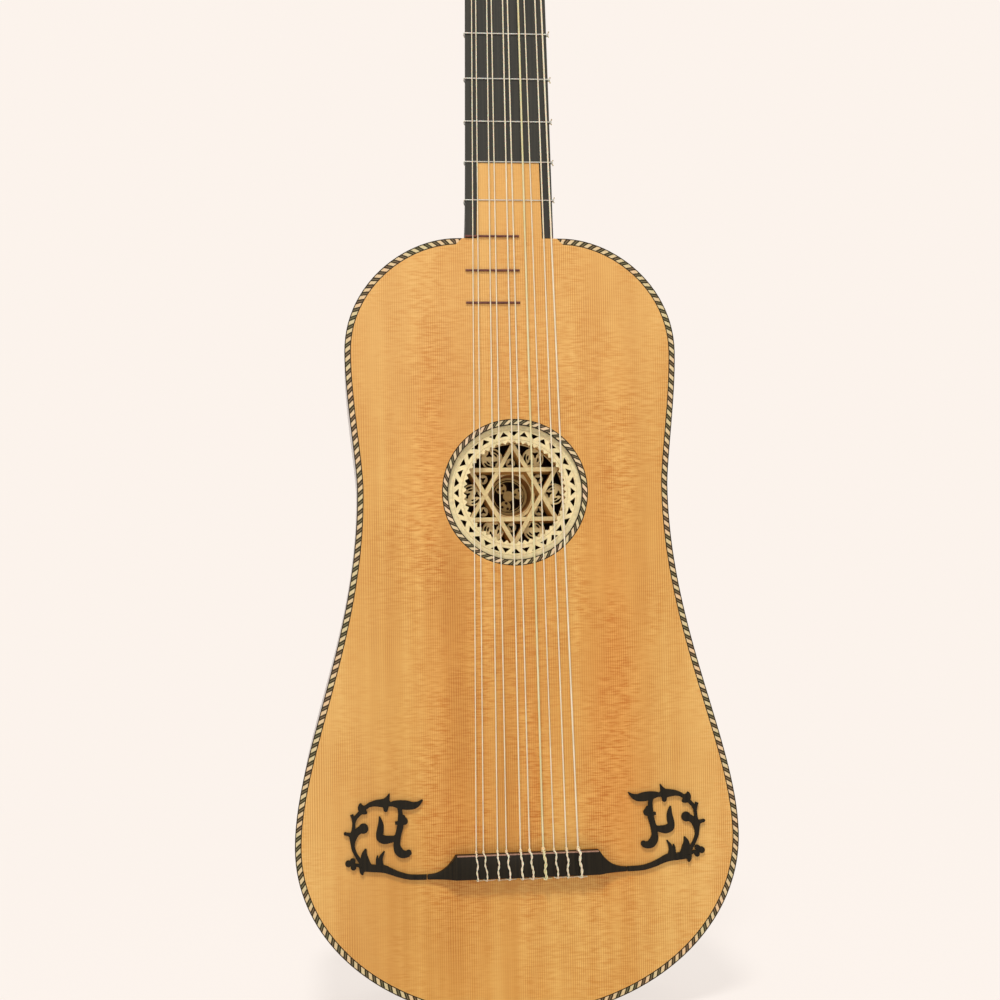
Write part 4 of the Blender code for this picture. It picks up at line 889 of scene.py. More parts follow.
NECK_ROUND_STEPS = 28
HEEL_SHARES = (0, 0.02, 0.05, 0.09, 0.13, 0.18, 0.24, 0.31, 0.39, 0.48, 0.58, 0.70, 0.84, 1.0, 2.4)

# The right half of the head's face: a quick flare, a long taper, an ear, a notch and a crown
HEAD_CORNERS = ((0.0235, 0), (0.0325, 0.0220), (0.0375, 0.1700), (0.0245, 0.1820), (0, HEAD_LENGTH))
HEAD_BENDS = (
    ((0, 0.35), (-0.30, -0.55), 12),
    ((0, 0.3), (0, -0.3), 6),
    ((0.3, 0.9), (0.7, 0.5), 18),
    ((0.1, 0.6), (0.75, 0), 18),
)
HEAD_BEVEL = 0.0008
PEG_HOLE_GAP = 0.0002

# How far the peg's front end has rounded in, as a share of its radius, at a depth below its tip
PEG_TIP = ((0, 0), (0.55, 0.0001), (0.9, 0.0006), (1, 0.0014))
PEG_SIDES = 28
COLLAR_STEPS = 6
GRIP_PINCH = 0.30
GRIP_DISH = 0.35
GRIP_DISH_AT = -0.15


def neck_half_at(height):
    share = (height - BODY_LENGTH) / (NUT_Y - BODY_LENGTH)
    return NECK_HALF_AT_BODY + share * (NECK_HALF_AT_NUT - NECK_HALF_AT_BODY)


def neck_depth_at(height):
    """How deep the neck is under the fingerboard: a gentle taper and the heel's curve."""
    along = (height - BODY_LENGTH) / (NECK_END - BODY_LENGTH)
    plain = NECK_DEPTH_AT_BODY + along * (NECK_DEPTH_AT_NUT - NECK_DEPTH_AT_BODY)
    rise = max(0.0, 1 - (height - NECK_START) / HEEL_LENGTH)
    return plain + (HEEL_DEPTH - NECK_DEPTH_AT_BODY) * rise**HEEL_CURVE


def neck_round(half, depth):
    """The round of the neck, from its right edge under to its left edge."""
    places = []
    for index in range(NECK_ROUND_STEPS + 1):
        angle = math.pi * index / NECK_ROUND_STEPS
        places.append((half * math.cos(angle), NECK_TOP - depth * math.sin(angle)))
    return places


def make_neck():
    """The neck is lofted through its sections; its last one leans to meet the head."""
    rings = []
    for height in [NECK_START + HEEL_LENGTH * share for share in HEEL_SHARES] + [NECK_END]:
        lean = math.tan(HEAD_ANGLE) if height == NECK_END else 0
        section = neck_round(neck_half_at(height), neck_depth_at(height))
        rings.append([(x, height + lean * (z - NECK_TOP), z) for x, z in section])
    add_piece("neck_wood", skin("neck", rings), EBONY, ["neck"])


def peg_places():
    """Where each string's peg goes through the head: across it and up it."""
    places = []
    for index in range(len(STRING_AT_NUT)):
        side = -1 if index < 5 else 1
        rank = index if index < 5 else 9 - index
        half = PEG_ROW_HALF_NEAR + (PEG_ROW_HALF_FAR - PEG_ROW_HALF_NEAR) * rank / 4
        places.append(Vector((side * half, PEG_FIRST_AT + rank * PEG_PITCH)))
    return places


def make_head():
    face = [tuple(place) for place in curves(HEAD_CORNERS, HEAD_BENDS, in_spans=True)]
    holes = [circle(place, PEG_RADIUS_BACK + PEG_HOLE_GAP, PEG_SIDES) for place in peg_places()]
    mesh = plate("head", [both_halves(face)] + holes, -HEAD_THICKNESS, 0)
    mesh = bevelled("head", mesh, HEAD_BEVEL, 3)
    add_piece("head_wood", mesh, EBONY, ["head"], at=HEAD)


def head_point(x, at, rise):
    """A place on the head in the bench frame: across it, up it and off its face."""
    cosine = math.cos(HEAD_ANGLE)
    sine = math.sin(HEAD_ANGLE)
    return Vector((x, HEAD_START + at * cosine + rise * sine, HEAD_FACE_Z - at * sine + rise * cosine))


def winding_radius(index):
    return PEG_RADIUS_FRONT + STRING_DIAMETER[index] / 2


def string_meets_peg(index):
    """The place beside the peg where the string first touches its winding, and the string's run to it."""
    peg = peg_places()[index]
    slot = Vector((STRING_AT_NUT[index], 0))
    radius = winding_radius(index) + CLEARANCE
    reach = slot - peg
    inner_side = -1 if peg.x < 0 else 1
    opening = math.acos(radius / reach.length)
    angle = math.atan2(reach.y, reach.x) - inner_side * opening
    touch = peg + radius * Vector((math.cos(angle), math.sin(angle)))
    return peg, touch, (touch - slot).normalized()


def winding_points(index, points_a_turn):
    """The string's turns round its peg, in the peg's own frame, from the nut side into the string hole."""
    peg, touch, run = string_meets_peg(index)
    radius = winding_radius(index)
    pitch = STRING_DIAMETER[index] + WINDING_GAP
    arm = touch - peg
    start = math.atan2(arm.y, arm.x)
    sense = 1 if arm.x * run.y - arm.y * run.x > 0 else -1
    lead = arm - WINDING_LEAD * run
    points = [(lead.x, lead.y, WINDING_TOP)]
    for step in range(WINDING_TURNS * points_a_turn + 1):
        turns = step / points_a_turn
        points.append((*polar(radius, start + sense * math.tau * turns), WINDING_TOP - pitch * turns))
    final = start + sense * math.tau * (WINDING_TURNS + 0.5 / points_a_turn)
    points.append((*polar(0.4 * PEG_RADIUS_FRONT, final), points[-1][2]))
    return points


def peg_mesh(index):
    """A turned shaft that tapers through the head, a collar behind it and a flat oval grip."""
    back = -HEAD_THICKNESS
    width, thickness, length = PEG_GRIP
    stem_end = back - PEG_STEM_LENGTH - length / 2
    bulge = PEG_COLLAR_RADIUS - PEG_RADIUS_FRONT
    profile = [(share * PEG_RADIUS_FRONT, PEG_FRONT_REACH - depth) for share, depth in PEG_TIP]
    profile += [(PEG_RADIUS_FRONT, CLEARANCE), (PEG_RADIUS_BACK, back - CLEARANCE)]
    for step in range(COLLAR_STEPS + 1):
        share = step / COLLAR_STEPS
        swell = math.sin(math.pi * share) ** 0.6
        profile.append((PEG_RADIUS_FRONT + bulge * swell, back - CLEARANCE - PEG_COLLAR_LENGTH * share))
    profile += [(PEG_RADIUS_FRONT, stem_end), (0, stem_end)]
    shaft = turned(f"peg_{index + 1}", profile, PEG_SIDES)
    shape = bmesh.new()
    bmesh.ops.create_uvsphere(shape, u_segments=PEG_SIDES, v_segments=18, radius=1)
    for vertex in shape.verts:
        vertex.co.x *= 1 - GRIP_PINCH * max(0.0, vertex.co.z) ** 2
        off_centre = vertex.co.x**2 + (vertex.co.z - GRIP_DISH_AT) ** 2
        vertex.co.y *= 1 - GRIP_DISH * math.exp(-6 * off_centre)
    place = Matrix.Translation((0, 0, back - PEG_STEM_LENGTH - length))
    turn = Matrix.Rotation(math.radians(20 + 37 * index), 4, "Z")
    shape.transform(turn @ place @ Matrix.Diagonal((width, thickness, length, 1)))
    return combined("peg", shaft, finished(shape, "grip"), "UNION")


def make_pegs():
    for index, place in enumerate(peg_places()):
        name = f"peg_{index + 1}"
        at = HEAD @ Matrix.Translation((place.x, place.y, 0))
        add_piece(name + "_wood", peg_mesh(index), EBONY, [name], body=name, at=at, angle=50)
        turns = wire(name + "_turns", winding_points(index, 28), STRING_DIAMETER[index] / 2, 10)
        add_piece(name + "_turns", turns, STRING_PAINTS[index], [name], body=name, at=at, angle=80)


# Strings and frets

KNOT_TURNS = 3
KNOT_SIZE = 0.80
KNOT_THICKNESS = 0.42
TIE_SWAY = 0.00035
FRET_GAP = 0.00015
FRET_OFF_BOARD = 0.00004

# The two singed ends of a fret's knot, as steps out of the knot: aside, along the neck and up
FRET_END = ((0, 0, 0), (0.0005, 0.0006, 0.0002), (0.0009, 0.0013, 0.0001))
FRET_END_LEAN = 0.0003


def fret_y(number):
    """Equal steps: each fret shortens the sounding length by a twelfth root of two."""
    return SCALE_START_Y + STRING_LENGTH * 2 ** (-number / 12)


def reach_clear_of_winding(index):
    """How far short of its touching point a string ends, so that its peg can turn with the lead on it."""
    radius = STRING_DIAMETER[index] / 2
    around = winding_radius(index) + CLEARANCE
    sweep = math.hypot(around + radius, WINDING_LEAD) + CLEARANCE
    return math.sqrt(sweep**2 - (around - radius) ** 2)


def string_run(index):
    """One string from behind the bridge through its hole, over the nut and on to its peg."""
    x = STRING_AT_BRIDGE[index]
    hole = STRING_HEIGHT_AT_BRIDGE
    touch, run = string_meets_peg(index)[1:]
    end = touch - reach_clear_of_winding(index) * run
    points = [Vector((x, BRIDGE_REAR_Y + 0.0004, hole)), Vector((x, BRIDGE_FRONT_Y, hole))]
    nut = Vector((STRING_AT_NUT[index], NUT_Y, STRING_HEIGHT_AT_NUT))
    points += [points[1].lerp(nut, share / 12) for share in range(1, 13)]
    points.append(Vector((STRING_AT_NUT[index], NECK_END, STRING_HEIGHT_AT_NUT)))
    points.append(head_point(end.x, end.y, WINDING_TOP))
    return points


def two_ply(path, apart, turns, phase):
    """One of two strands that twist round each other along a path."""
    frames = path_frames(path)
    points = []
    for step, (point, (side, up)) in enumerate(zip(path, frames)):
        angle = phase + math.tau * turns * step / (len(path) - 1)
        points.append(point + apart * (math.cos(angle) * side + math.sin(angle) * up))
    return points


def knot_points(centre, across, size, radius):
    """A few close turns round an axis, as a tight knot has."""
    axis = across.normalized()
    side = axis.orthogonal().normalized()
    up = axis.cross(side)
    points = []
    steps = 14 * KNOT_TURNS
    for step in range(steps + 1):
        share = step / steps
        x, y = polar(size * (0.75 + 0.25 * math.sin(math.pi * share)), math.tau * KNOT_TURNS * share)
        drift = (2 * share - 1) * radius * KNOT_TURNS
        points.append(centre + drift * axis + x * side + y * up)
    return points


def tie_meshes(index):
    """The string's end comes up behind the bridge, over it to the front round itself and twists back."""
    radius = STRING_DIAMETER[index] / 2
    strand = radius * 0.86
    x = STRING_AT_BRIDGE[index]
    aside = TIE_LEAN[index]
    above = BRIDGE_HEIGHT + CLEARANCE + 1.35 * radius
    before = BRIDGE_FRONT_Y + CLEARANCE + radius
    behind = BRIDGE_REAR_Y - CLEARANCE - radius
    middle = (before + behind) / 2
    hole = STRING_HEIGHT_AT_BRIDGE
    sway = TIE_SWAY * (1 if index % 2 else -1)
    centre = [
        (x, before + 0.0001, hole + 0.0004),
        (x + 0.2 * aside, before - 0.0002, above - 0.0006),
        (x + 0.35 * aside + sway, before - 0.0020, above),
        (x + 0.55 * aside - sway, middle + 0.0015, above),
        (x + 0.75 * aside + sway, middle - 0.0025, above),
        (x + aside, behind + 0.0014, above),
        (x + aside, behind - 0.0001, above - 0.0010),
        (x + 0.5 * aside, behind, hole + 0.0010),
        (x, behind + 0.0002, hole),
    ]
    path = smooth_path(centre, 9)
    twists = 4.5 + 0.5 * (index % 3)
    meshes = [wire("tie", two_ply(path, strand * 0.92, twists, phase), strand) for phase in (0, math.pi)]
    tail = [
        (x + aside, behind - 0.0002, above - 0.0020),
        (x + aside + 0.0008, behind - 0.0009, hole - 0.0016),
        (x + aside + 0.0042 + 0.0011 * (index % 3), behind - 0.0009, 0.0006 + strand),
    ]
    return meshes + [wire("tail", smooth_path(tail, 8), strand * 0.8)]


def make_strings():
    for index, diameter in enumerate(STRING_DIAMETER):
        name = f"string_{index + 1}"
        mesh = wire(name, string_run(index), diameter / 2, 12)
        mesh = together(name, [mesh] + tie_meshes(index))
        add_piece(name + "_gut", mesh, STRING_PAINTS[index], [name], angle=80)
        place = Vector((STRING_AT_BRIDGE[index], BRIDGE_FRONT_Y + 0.0013, STRING_HEIGHT_AT_BRIDGE))
        thickness = diameter * KNOT_THICKNESS
        turns = knot_points(place, Vector((0, 1, 0)), diameter * KNOT_SIZE, thickness)
        knot = wire(name + "_knot", turns, thickness)
        add_piece(name + "_knot", knot, KNOT_GUT, angle=80)


def fret_loop(height, radius):
    """A loop round the neck and straight across the fingerboard, and the half width that it has."""
    swell = FRET_GAP + radius
    half = neck_half_at(height) + swell
    depth = neck_depth_at(height - swell) + swell
    corner = 1.4 * radius
    level = radius + FRET_OFF_BOARD - corner
    places = neck_round(half, depth) + [(-half, level)]
    for side, start in ((-1, 162), (1, 72)):
        for step in range(5):
            places.append(polar(corner, math.radians(start - 18 * step), (side * (half - corner), level)))
    return [(x, height, z) for x, z in places], half


def make_tied_frets():
    """Each gut fret is a loop round the neck with its knot at the right edge and two singed ends."""
    first = TIED_FRETS[0]
    last = TIED_FRETS[-1]
    for number in TIED_FRETS:
        name = f"neck_fret_{number}"
        share = (number - first) / (last - first)
        radius = GUT_FRET_RADIUS_FIRST + share * (GUT_FRET_RADIUS_LAST - GUT_FRET_RADIUS_FIRST)
        height = fret_y(number)
        loop, half = fret_loop(height, radius)
        mesh = wire(name, loop, radius, 10, closed=True)
        add_piece(name + "_gut", mesh, FRET_GUT, [name], body=name, angle=80)
        centre = Vector((half + 0.25 * radius, height, -0.0006))
        turns = knot_points(centre, Vector((0.15, 0.5, 1)), 1.6 * radius, 0.9 * radius)
        knot = wire(name + "_knot", turns, 0.9 * radius)
        add_piece(name + "_knot", knot, FRET_GUT, body=name, angle=80)
        lean = FRET_END_LEAN if number % 2 else -FRET_END_LEAN
        for side in (-1, 1):
            start = centre + Vector((0.3 * radius, side * 1.2 * radius, 0))
            places = [start + Vector((x, side * y, z)) for x, y, z in FRET_END]
            places[-1].y += lean
            path = smooth_path(places, 5)
            radii = [0.85 * radius] * (len(path) - 2) + [1.3 * radius, 0.9 * radius]
            end = wire(name + "_end", path, radii)
            add_piece(f"{name}_end_{side + 2}", end, SINGED_GUT, body=name, angle=80)


# Bridge and moustaches

BRIDGE_BEVEL = 0.00035
STRING_HOLE_GAP = 0.0002

# The lighter strip along the bridge's front edge, a painted highlight for the lit front face: short of the
# block's ends, then its bottom, top, back and front
EDGE_STRIP_SHORT = 0.0006
EDGE_STRIP_HEIGHTS = (-0.0013, 0.00015)
EDGE_STRIP_DEPTHS = (-0.0005, 0.00018)
EDGE_STRIP_BEVEL = 0.0001
STROKE_SWELL = 0.00025
THINNEST_STROKE = 0.0003

# The left ornament in millimetres: the middle of each stem, X and Y, with its width, then berries and a leaf
STEMS = {
    "arm": (
        (-58.9, 85.1, 2.6), (-68.0, 85.4, 2.6), (-75.0, 87.2, 2.9), (-79.5, 89.1, 3.3), (-84.0, 90.8, 4.1),
        (-90.0, 91.3, 3.9), (-96.0, 92.4, 4.8),
    ),
    "tall_leaf": ((-94.4, 92.4, 7.6), (-94.6, 96.0, 5.0), (-94.8, 99.5, 3.1), (-93.8, 102.6, 0.6)),
    "right_twin_leaf": ((-85.0, 91.2, 3.2), (-85.4, 95.0, 2.2), (-85.1, 97.6, 1.9), (-83.2, 100.9, 0.5)),
    "left_twin_leaf": ((-86.8, 91.2, 2.8), (-87.2, 94.2, 2.0), (-87.4, 96.5, 1.3), (-87.1, 98.5, 0.4)),
    "spur": ((-95.8, 91.8, 4.2), (-96.3, 89.5, 2.4), (-95.9, 87.8, 0.7)),
    "berry_link": ((-102.6, 93.9, 1.6), (-96.0, 93.0, 1.4)),
    "vine": (
        (-96.4, 94.6, 2.4), (-99.1, 98.5, 1.7), (-101.0, 102.7, 1.9), (-101.4, 105.6, 2.3),
        (-101.3, 108.4, 3.4), (-101.2, 110.8, 4.0), (-101.0, 113.1, 2.1), (-100.6, 117.7, 1.5),
        (-99.9, 120.2, 2.0), (-98.7, 121.8, 2.0), (-96.8, 123.6, 2.2),
    ),
    "bud_stalk": ((-101.6, 110.6, 3.4), (-103.8, 111.3, 1.7), (-106.0, 111.8, 1.4)),
    "spike": ((-100.7, 118.0, 1.4), (-101.2, 120.8, 1.4), (-101.8, 122.6, 1.8)),
    "garland": (
        (-95.0, 125.8, 2.6), (-93.3, 126.8, 2.1), (-91.4, 127.9, 2.3), (-88.5, 128.6, 3.1),
        (-85.7, 128.7, 3.9), (-82.8, 128.6, 4.6), (-80.4, 128.2, 3.2), (-79.2, 127.9, 2.2),
        (-77.0, 128.0, 3.3), (-74.1, 127.6, 4.5), (-70.0, 127.0, 5.0), (-66.5, 126.6, 4.0),
        (-64.2, 127.1, 3.1), (-62.5, 128.1, 1.9), (-60.6, 129.8, 0.4),
    ),
    "up_spike": ((-81.9, 129.6, 4.2), (-80.5, 132.3, 1.4), (-79.9, 133.9, 0.4)),
    "drop": ((-82.0, 127.5, 3.6), (-82.1, 124.6, 2.2)),
    "inner_stalk": ((-96.0, 114.2, 4.2), (-98.6, 112.6, 3.7), (-100.2, 110.2, 3.1), (-101.1, 106.8, 2.0)),
    "stem": (
        (-74.6, 127.6, 4.2), (-73.9, 125.1, 2.5), (-73.6, 121.6, 2.5), (-73.5, 118.0, 3.4),
        (-73.8, 114.8, 3.4), (-75.0, 110.3, 3.3), (-75.8, 106.0, 3.4), (-75.9, 103.6, 3.9),
        (-75.2, 101.3, 4.6), (-73.6, 99.3, 4.6), (-71.3, 98.7, 3.9), (-68.8, 99.2, 3.2),
    ),
    "stem_bump": ((-73.9, 116.9, 2.6), (-76.8, 116.9, 1.3)),
    "hook": (
        (-75.0, 109.0, 4.2), (-77.3, 108.0, 3.1), (-80.1, 107.6, 3.9), (-83.0, 107.5, 4.6),
        (-85.2, 108.6, 4.6), (-85.9, 110.6, 3.8), (-85.4, 113.3, 3.7), (-85.1, 116.1, 3.1),
        (-85.3, 118.5, 2.0), (-85.8, 121.0, 0.4),
    ),
}
BERRIES = (
    (-104.0, 94.5, 1.9), (-101.5, 96.0, 1.6), (-101.2, 92.2, 1.6), (-105.6, 111.8, 0.9), (-95.1, 114.4, 2.9),
    (-82.1, 124.8, 1.3), (-71.5, 117.9, 2.2), (-72.2, 119.9, 1.6), (-69.1, 99.5, 1.7),
)
KNOB_LEAF = (
    (-98.2, 126.4), (-97.4, 128.5), (-96.3, 129.0), (-95.5, 128.0), (-94.0, 127.1), (-93.3, 125.0),
    (-92.8, 123.2), (-94.0, 122.6), (-96.2, 122.8), (-97.7, 124.2),
)


def concave_end(start, end, steps):
    """A hollow curve that leaves start steeply and reaches end level."""
    start = Vector(start)
    end = Vector(end)
    corner = Vector((start.x + 0.25 * (end.x - start.x), start.y + 0.6 * (end.y - start.y)))
    level = Vector((start.x + 0.5 * (end.x - start.x), end.y))
    return [tuple(place) for place in bezier(start, corner, level, end, steps)] + [tuple(end)]


def make_bridge():
    """The block's plan and its elevation both fall in hollow curves to two thin arms."""
    at = BENCH @ Matrix.Translation((BRIDGE_X, 0, 0))
    front = concave_end((BRIDGE_TOP_HALF, BRIDGE_FRONT_Y), (BRIDGE_HALF, BRIDGE_ARM_FRONT_Y), 18)
    half = front + [(BRIDGE_HALF, BRIDGE_ARM_REAR_Y), (BRIDGE_TOP_HALF, BRIDGE_REAR_Y)]
    plan = plate("bridge", [half + mirrored(half)], 0, BRIDGE_HEIGHT + CLEARANCE)
    top = concave_end((BRIDGE_TOP_HALF, BRIDGE_HEIGHT), (BRIDGE_HALF, BRIDGE_ARM_HEIGHT), 18)
    beyond = BRIDGE_HALF + CLEARANCE
    side = top + [(beyond, BRIDGE_ARM_HEIGHT), (beyond, -BRIDGE_ARM_HEIGHT)]
    near = BRIDGE_REAR_Y - BRIDGE_ARM_HEIGHT
    far = BRIDGE_FRONT_Y + BRIDGE_ARM_HEIGHT
    elevation = upright_plate("bridge_elevation", side + mirrored(side), near, far)
    block = bevelled("bridge", combined("bridge", plan, elevation, "INTERSECT"), BRIDGE_BEVEL, 2)
    holes = []
    for x, diameter in zip(STRING_AT_BRIDGE, STRING_DIAMETER):
        ring = circle((x - BRIDGE_X, STRING_HEIGHT_AT_BRIDGE), diameter / 2 + STRING_HOLE_GAP, 16)
        holes.append(upright_plate("string_hole", ring, near, far))
    block = combined("bridge", block, together("string_holes", holes), "DIFFERENCE")
    add_piece("bridge_block", block, EBONY, ["bridge"], at=at)
    # A lighter strip along the front top edge: painted highlight for the lit front face.
    half = BRIDGE_TOP_HALF - EDGE_STRIP_SHORT
    back, before = (BRIDGE_FRONT_Y + depth for depth in EDGE_STRIP_DEPTHS)
    low, high = (BRIDGE_HEIGHT + height for height in EDGE_STRIP_HEIGHTS)
    strip = plate("edge_strip", [[(-half, back), (half, back), (half, before), (-half, before)]], low, high)
    strip = bevelled("bridge_front_highlight_strip", strip, EDGE_STRIP_BEVEL, 2)
    add_piece("bridge_front_highlight_strip", strip, BRIDGE_FRONT_HIGHLIGHT_WOOD, at=at)


def millimetres(places):
    return [tuple(value / 1000 for value in place) for place in places]


def stroke(name, places):
    """A tapering stem of the ornament with a rounded start and a point or a round at its end."""
    path = smooth_path(millimetres(places), 5)
    left = []
    right = []
    for index, place in enumerate(path):
        run = point_at(path, index + 1, False).to_2d() - point_at(path, index - 1, False).to_2d()
        run.normalize()
        side = Vector((-run.y, run.x)) * (max(place.z, THINNEST_STROKE) + STROKE_SWELL) / 2
        left.append(tuple(place.to_2d() + side))
        right.append(tuple(place.to_2d() - side))
    return plate(name, [left + right[::-1]], 0, 1)


def make_moustaches():
    """Flat foliate ornaments that butt against the bridge's arms; the right one mirrors the left."""
    shapes = [stroke(name, places) for name, places in STEMS.items()]
    for x, y, radius in millimetres(BERRIES):
        shapes.append(plate("berry", [circle((x, y), radius, 24)], 0, 1))
    leaf = smooth_path([(*place, 0) for place in millimetres(KNOB_LEAF)], 5, True)
    shapes.append(plate("knob_leaf", [[tuple(place.to_2d()) for place in leaf]], 0, 1))
    for level, shape in enumerate(shapes):
        sunk = 0.00001 * level
        flatten = Matrix.Diagonal((1, 1, MOUSTACHE_THICKNESS - 2 * sunk, 1))
        shape.transform(Matrix.Translation((-CLEARANCE, 0, sunk)) @ flatten)
    whole = combined("moustache", shapes[0], together("stems", shapes[1:]), "UNION")
    for name, sign in (("moustache_left", 1), ("moustache_right", -1)):
        at = BENCH @ Matrix.Translation((BRIDGE_X, 0, 0)) @ Matrix.Diagonal((sign, 1, 1, 1))
        add_piece(name + "_wood", whole.copy(), EBONY, [name], at=at)


# Rose

STAR_PLACE = (ROSE_X - 0.00015, ROSE_Y - 0.0010, 0)
RIM_TOP = -BOARD_THICKNESS - CLEARANCE
RIM_BOTTOM = RIM_TOP - PARCHMENT
RIM_FLANGE_RADIUS = 0.0462
RIM_TEETH = 52
RIM_TOOTH_ROOT = 0.0305
RIM_TOOTH_TIP = 0.0289
RIM_TOOTH = ((0.0, 1.0), (0.09, 0.94), (0.41, 0.10), (0.5, 0.0), (0.59, 0.10), (0.91, 0.94))
RIM_CORDS = {"rose_rim_cord": (0.0316, 0.00026), "rose_rim_line": (0.0371, 0.00022)}
PIERCINGS = 36
PIERCING_INNER = 0.0335
PIERCING_OUTER = 0.0363
PIERCING_BAR = 0.0008
STAR_WALL_INNER = 0.0306
STAR_WALL_OUTER = 0.0314
STAR_LEDGE_RADIUS = 0.0300
STAR_LINE_RADIUS = 0.0148
STAR_BAR_WIDTH = 0.0025
STAR_BAR_TOP = 0.0085
STAR_BAR_BOTTOM = 0.0170
STAR_BAR_STEP = 0.0003
STAR_BAR_LEAN = (-0.0009, -0.0015)
ROUNDEL_DEPTH = 0.0115
ROUNDEL_AT = 0.0247
ROUNDEL_RADIUS = 0.0065
TREFOIL_ARM = 0.44
ROUNDEL_TREFOIL_AT = 0.0029
ROUNDEL_TREFOIL_RADIUS = 0.0021

# Two slots either side of each trefoil: radius, width, place round the disc and reach in degrees
ROUNDEL_SLOTS = ((0.0049, 0.0014, -62, 34), (0.0032, 0.0012, -74, 26))
INNER_RING_DEPTH = 0.0160
INNER_RING_OUTER = 0.0150
INNER_RING_INNER = 0.0125
POINT_RING_DEPTH = 0.0140
POINT_RING_AT = 0.0193
POINT_RING_RADIUS = 0.0029
POINT_TREFOIL_RADIUS = 0.0018
DEEP_OFFSET = (-0.0010, -0.0004)
WELL_DEPTH = 0.0280
WELL_TOP_OUTER = 0.0134
WELL_TOP_INNER = 0.0125
WELL_FLOOR_OUTER = 0.0122
WELL_LEDGE_RADIUS = 0.0100
WELL_TURN = math.radians(13)
WELL_LOBE_AT = 0.0064
WELL_LOBE_RADIUS = 0.0033
WELL_HUB_RADIUS = 0.0032
WELL_RING_RADIUS = 0.0091
WELL_RING_WIDTH = 0.0005
LOBE_HOLE_AT = 0.0020
LOBE_HOLE_RADIUS = 0.00085

# Lips: how far each cord lies in from its edge, and its radius
ROUNDEL_LIP = (0.0004, 0.00035)
POINT_RING_LIP = (0.0003, 0.00028)
INNER_RING_LIP = (0.0003, 0.0003)


def trefoil(centre, radius, turn):
    """A three-armed piercing with rounded arm ends."""
    places = []
    half = TREFOIL_ARM * radius * 0.62
    for angle in angles(3, turn):
        tip = polar(radius - half, angle, centre)
        places += [polar(half, angle + math.radians(45) * step, tip) for step in range(-2, 3)]
        places.append(polar(TREFOIL_ARM * radius, angle + math.pi / 3, centre))
    return places


def crescent(centre, radius, width, middle, reach):
    """A curved slot either side of an angle, thin at both ends."""
    steps = 8
    outer = []
    inner = []
    for step in range(steps + 1):
        share = step / steps
        angle = middle + reach * (2 * share - 1)
        thick = width * math.sin(math.pi * (0.12 + 0.76 * share))
        outer.append(polar(radius + thick / 2, angle, centre))
        inner.append(polar(radius - thick / 2, angle, centre))
    return outer + inner[::-1]


def round_cord(name, centre, radius, z, thickness, steps):
    """A thin cord in a circle."""
    return wire(name, [(*place, z) for place in circle(centre, radius, steps)], thickness, closed=True)


def make_rim():
    """The rim of parchment: a band of piercings and a toothed inner edge."""
    inner = []
    for angle in angles(RIM_TEETH):
        for share, reach in RIM_TOOTH:
            radius = RIM_TOOTH_TIP + reach * (RIM_TOOTH_ROOT - RIM_TOOTH_TIP)
            inner.append(polar(radius, angle + share * math.tau / RIM_TEETH))
    loops = [circle((0, 0), RIM_FLANGE_RADIUS, 120), inner]
    edges = (PIERCING_INNER, PIERCING_OUTER)
    for index, middle in enumerate(angles(PIERCINGS)):
        base, tip = edges[::-1] if index % 2 else edges
        spread = (math.tau / PIERCINGS - PIERCING_BAR / base) / 2
        loops.append([polar(base, middle + side * spread) for side in (-1, 0, 1)] + [polar(tip, middle)])
    mesh = plate("rose_rim", loops, RIM_BOTTOM, RIM_TOP)
    at = BENCH @ Matrix.Translation((ROSE_X, ROSE_Y, 0))
    add_piece("rose_rim", mesh, PARCHMENT_RIM, ["rose_rim_tier"], at=at)
    for name, (radius, thickness) in RIM_CORDS.items():
        cord = round_cord(name, (0, 0), radius, RIM_TOP, thickness, 120)
        add_piece(name, cord, PARCHMENT_RIM, at=at, angle=80)


def star_triangle(turn, drop):
    """One of the star's two triangles: three walls of parchment seen on edge, which lean a little."""
    reaches = [2 * (STAR_LINE_RADIUS + side * STAR_BAR_WIDTH / 2) for side in (1, -1)]
    edges = [circle((0, 0), reach, 3, turn) for reach in reaches]
    mesh = plate("star_triangle", edges, -STAR_BAR_BOTTOM + drop, -STAR_BAR_TOP + drop)
    for corner in mesh.vertices:
        if corner.co.z < -(STAR_BAR_TOP + STAR_BAR_BOTTOM) / 2:
            corner.co.xy += Vector(STAR_BAR_LEAN)
    return mesh


def roundel(angle):
    """A disc between two of the star's points, with two trefoils in line and two pairs of slots askew."""
    centre = polar(ROUNDEL_AT, angle)
    loops = [circle(centre, ROUNDEL_RADIUS, 40, angle)]
    for turn in (angle, angle + math.pi):
        place = polar(ROUNDEL_TREFOIL_AT, turn, centre)
        loops.append(trefoil(place, ROUNDEL_TREFOIL_RADIUS, turn + math.pi / 2))
        for radius, width, middle, reach in ROUNDEL_SLOTS:
            loops.append(crescent(centre, radius, width, turn + math.radians(middle), math.radians(reach)))
    return plate("roundel", loops, -ROUNDEL_DEPTH - PARCHMENT, -ROUNDEL_DEPTH)


def roundel_lips():
    """A raised lip round each disc and round each small ring, and one round the inner ring."""
    lips = []
    for angle in angles(6):
        inside, thickness = ROUNDEL_LIP
        centre = polar(ROUNDEL_AT, angle)
        lips.append(round_cord("lip", centre, ROUNDEL_RADIUS - inside, -ROUNDEL_DEPTH, thickness, 40))
        inside, thickness = POINT_RING_LIP
        centre = polar(POINT_RING_AT, angle + math.pi / 6, DEEP_OFFSET)
        lips.append(round_cord("lip", centre, POINT_RING_RADIUS - inside, -POINT_RING_DEPTH, thickness, 30))
    inside, thickness = INNER_RING_LIP
    for radius in (INNER_RING_OUTER - inside, INNER_RING_INNER + inside):
        lips.append(round_cord("lip", DEEP_OFFSET, radius, -INNER_RING_DEPTH, thickness, 64))
    return together("rose_lips", lips)


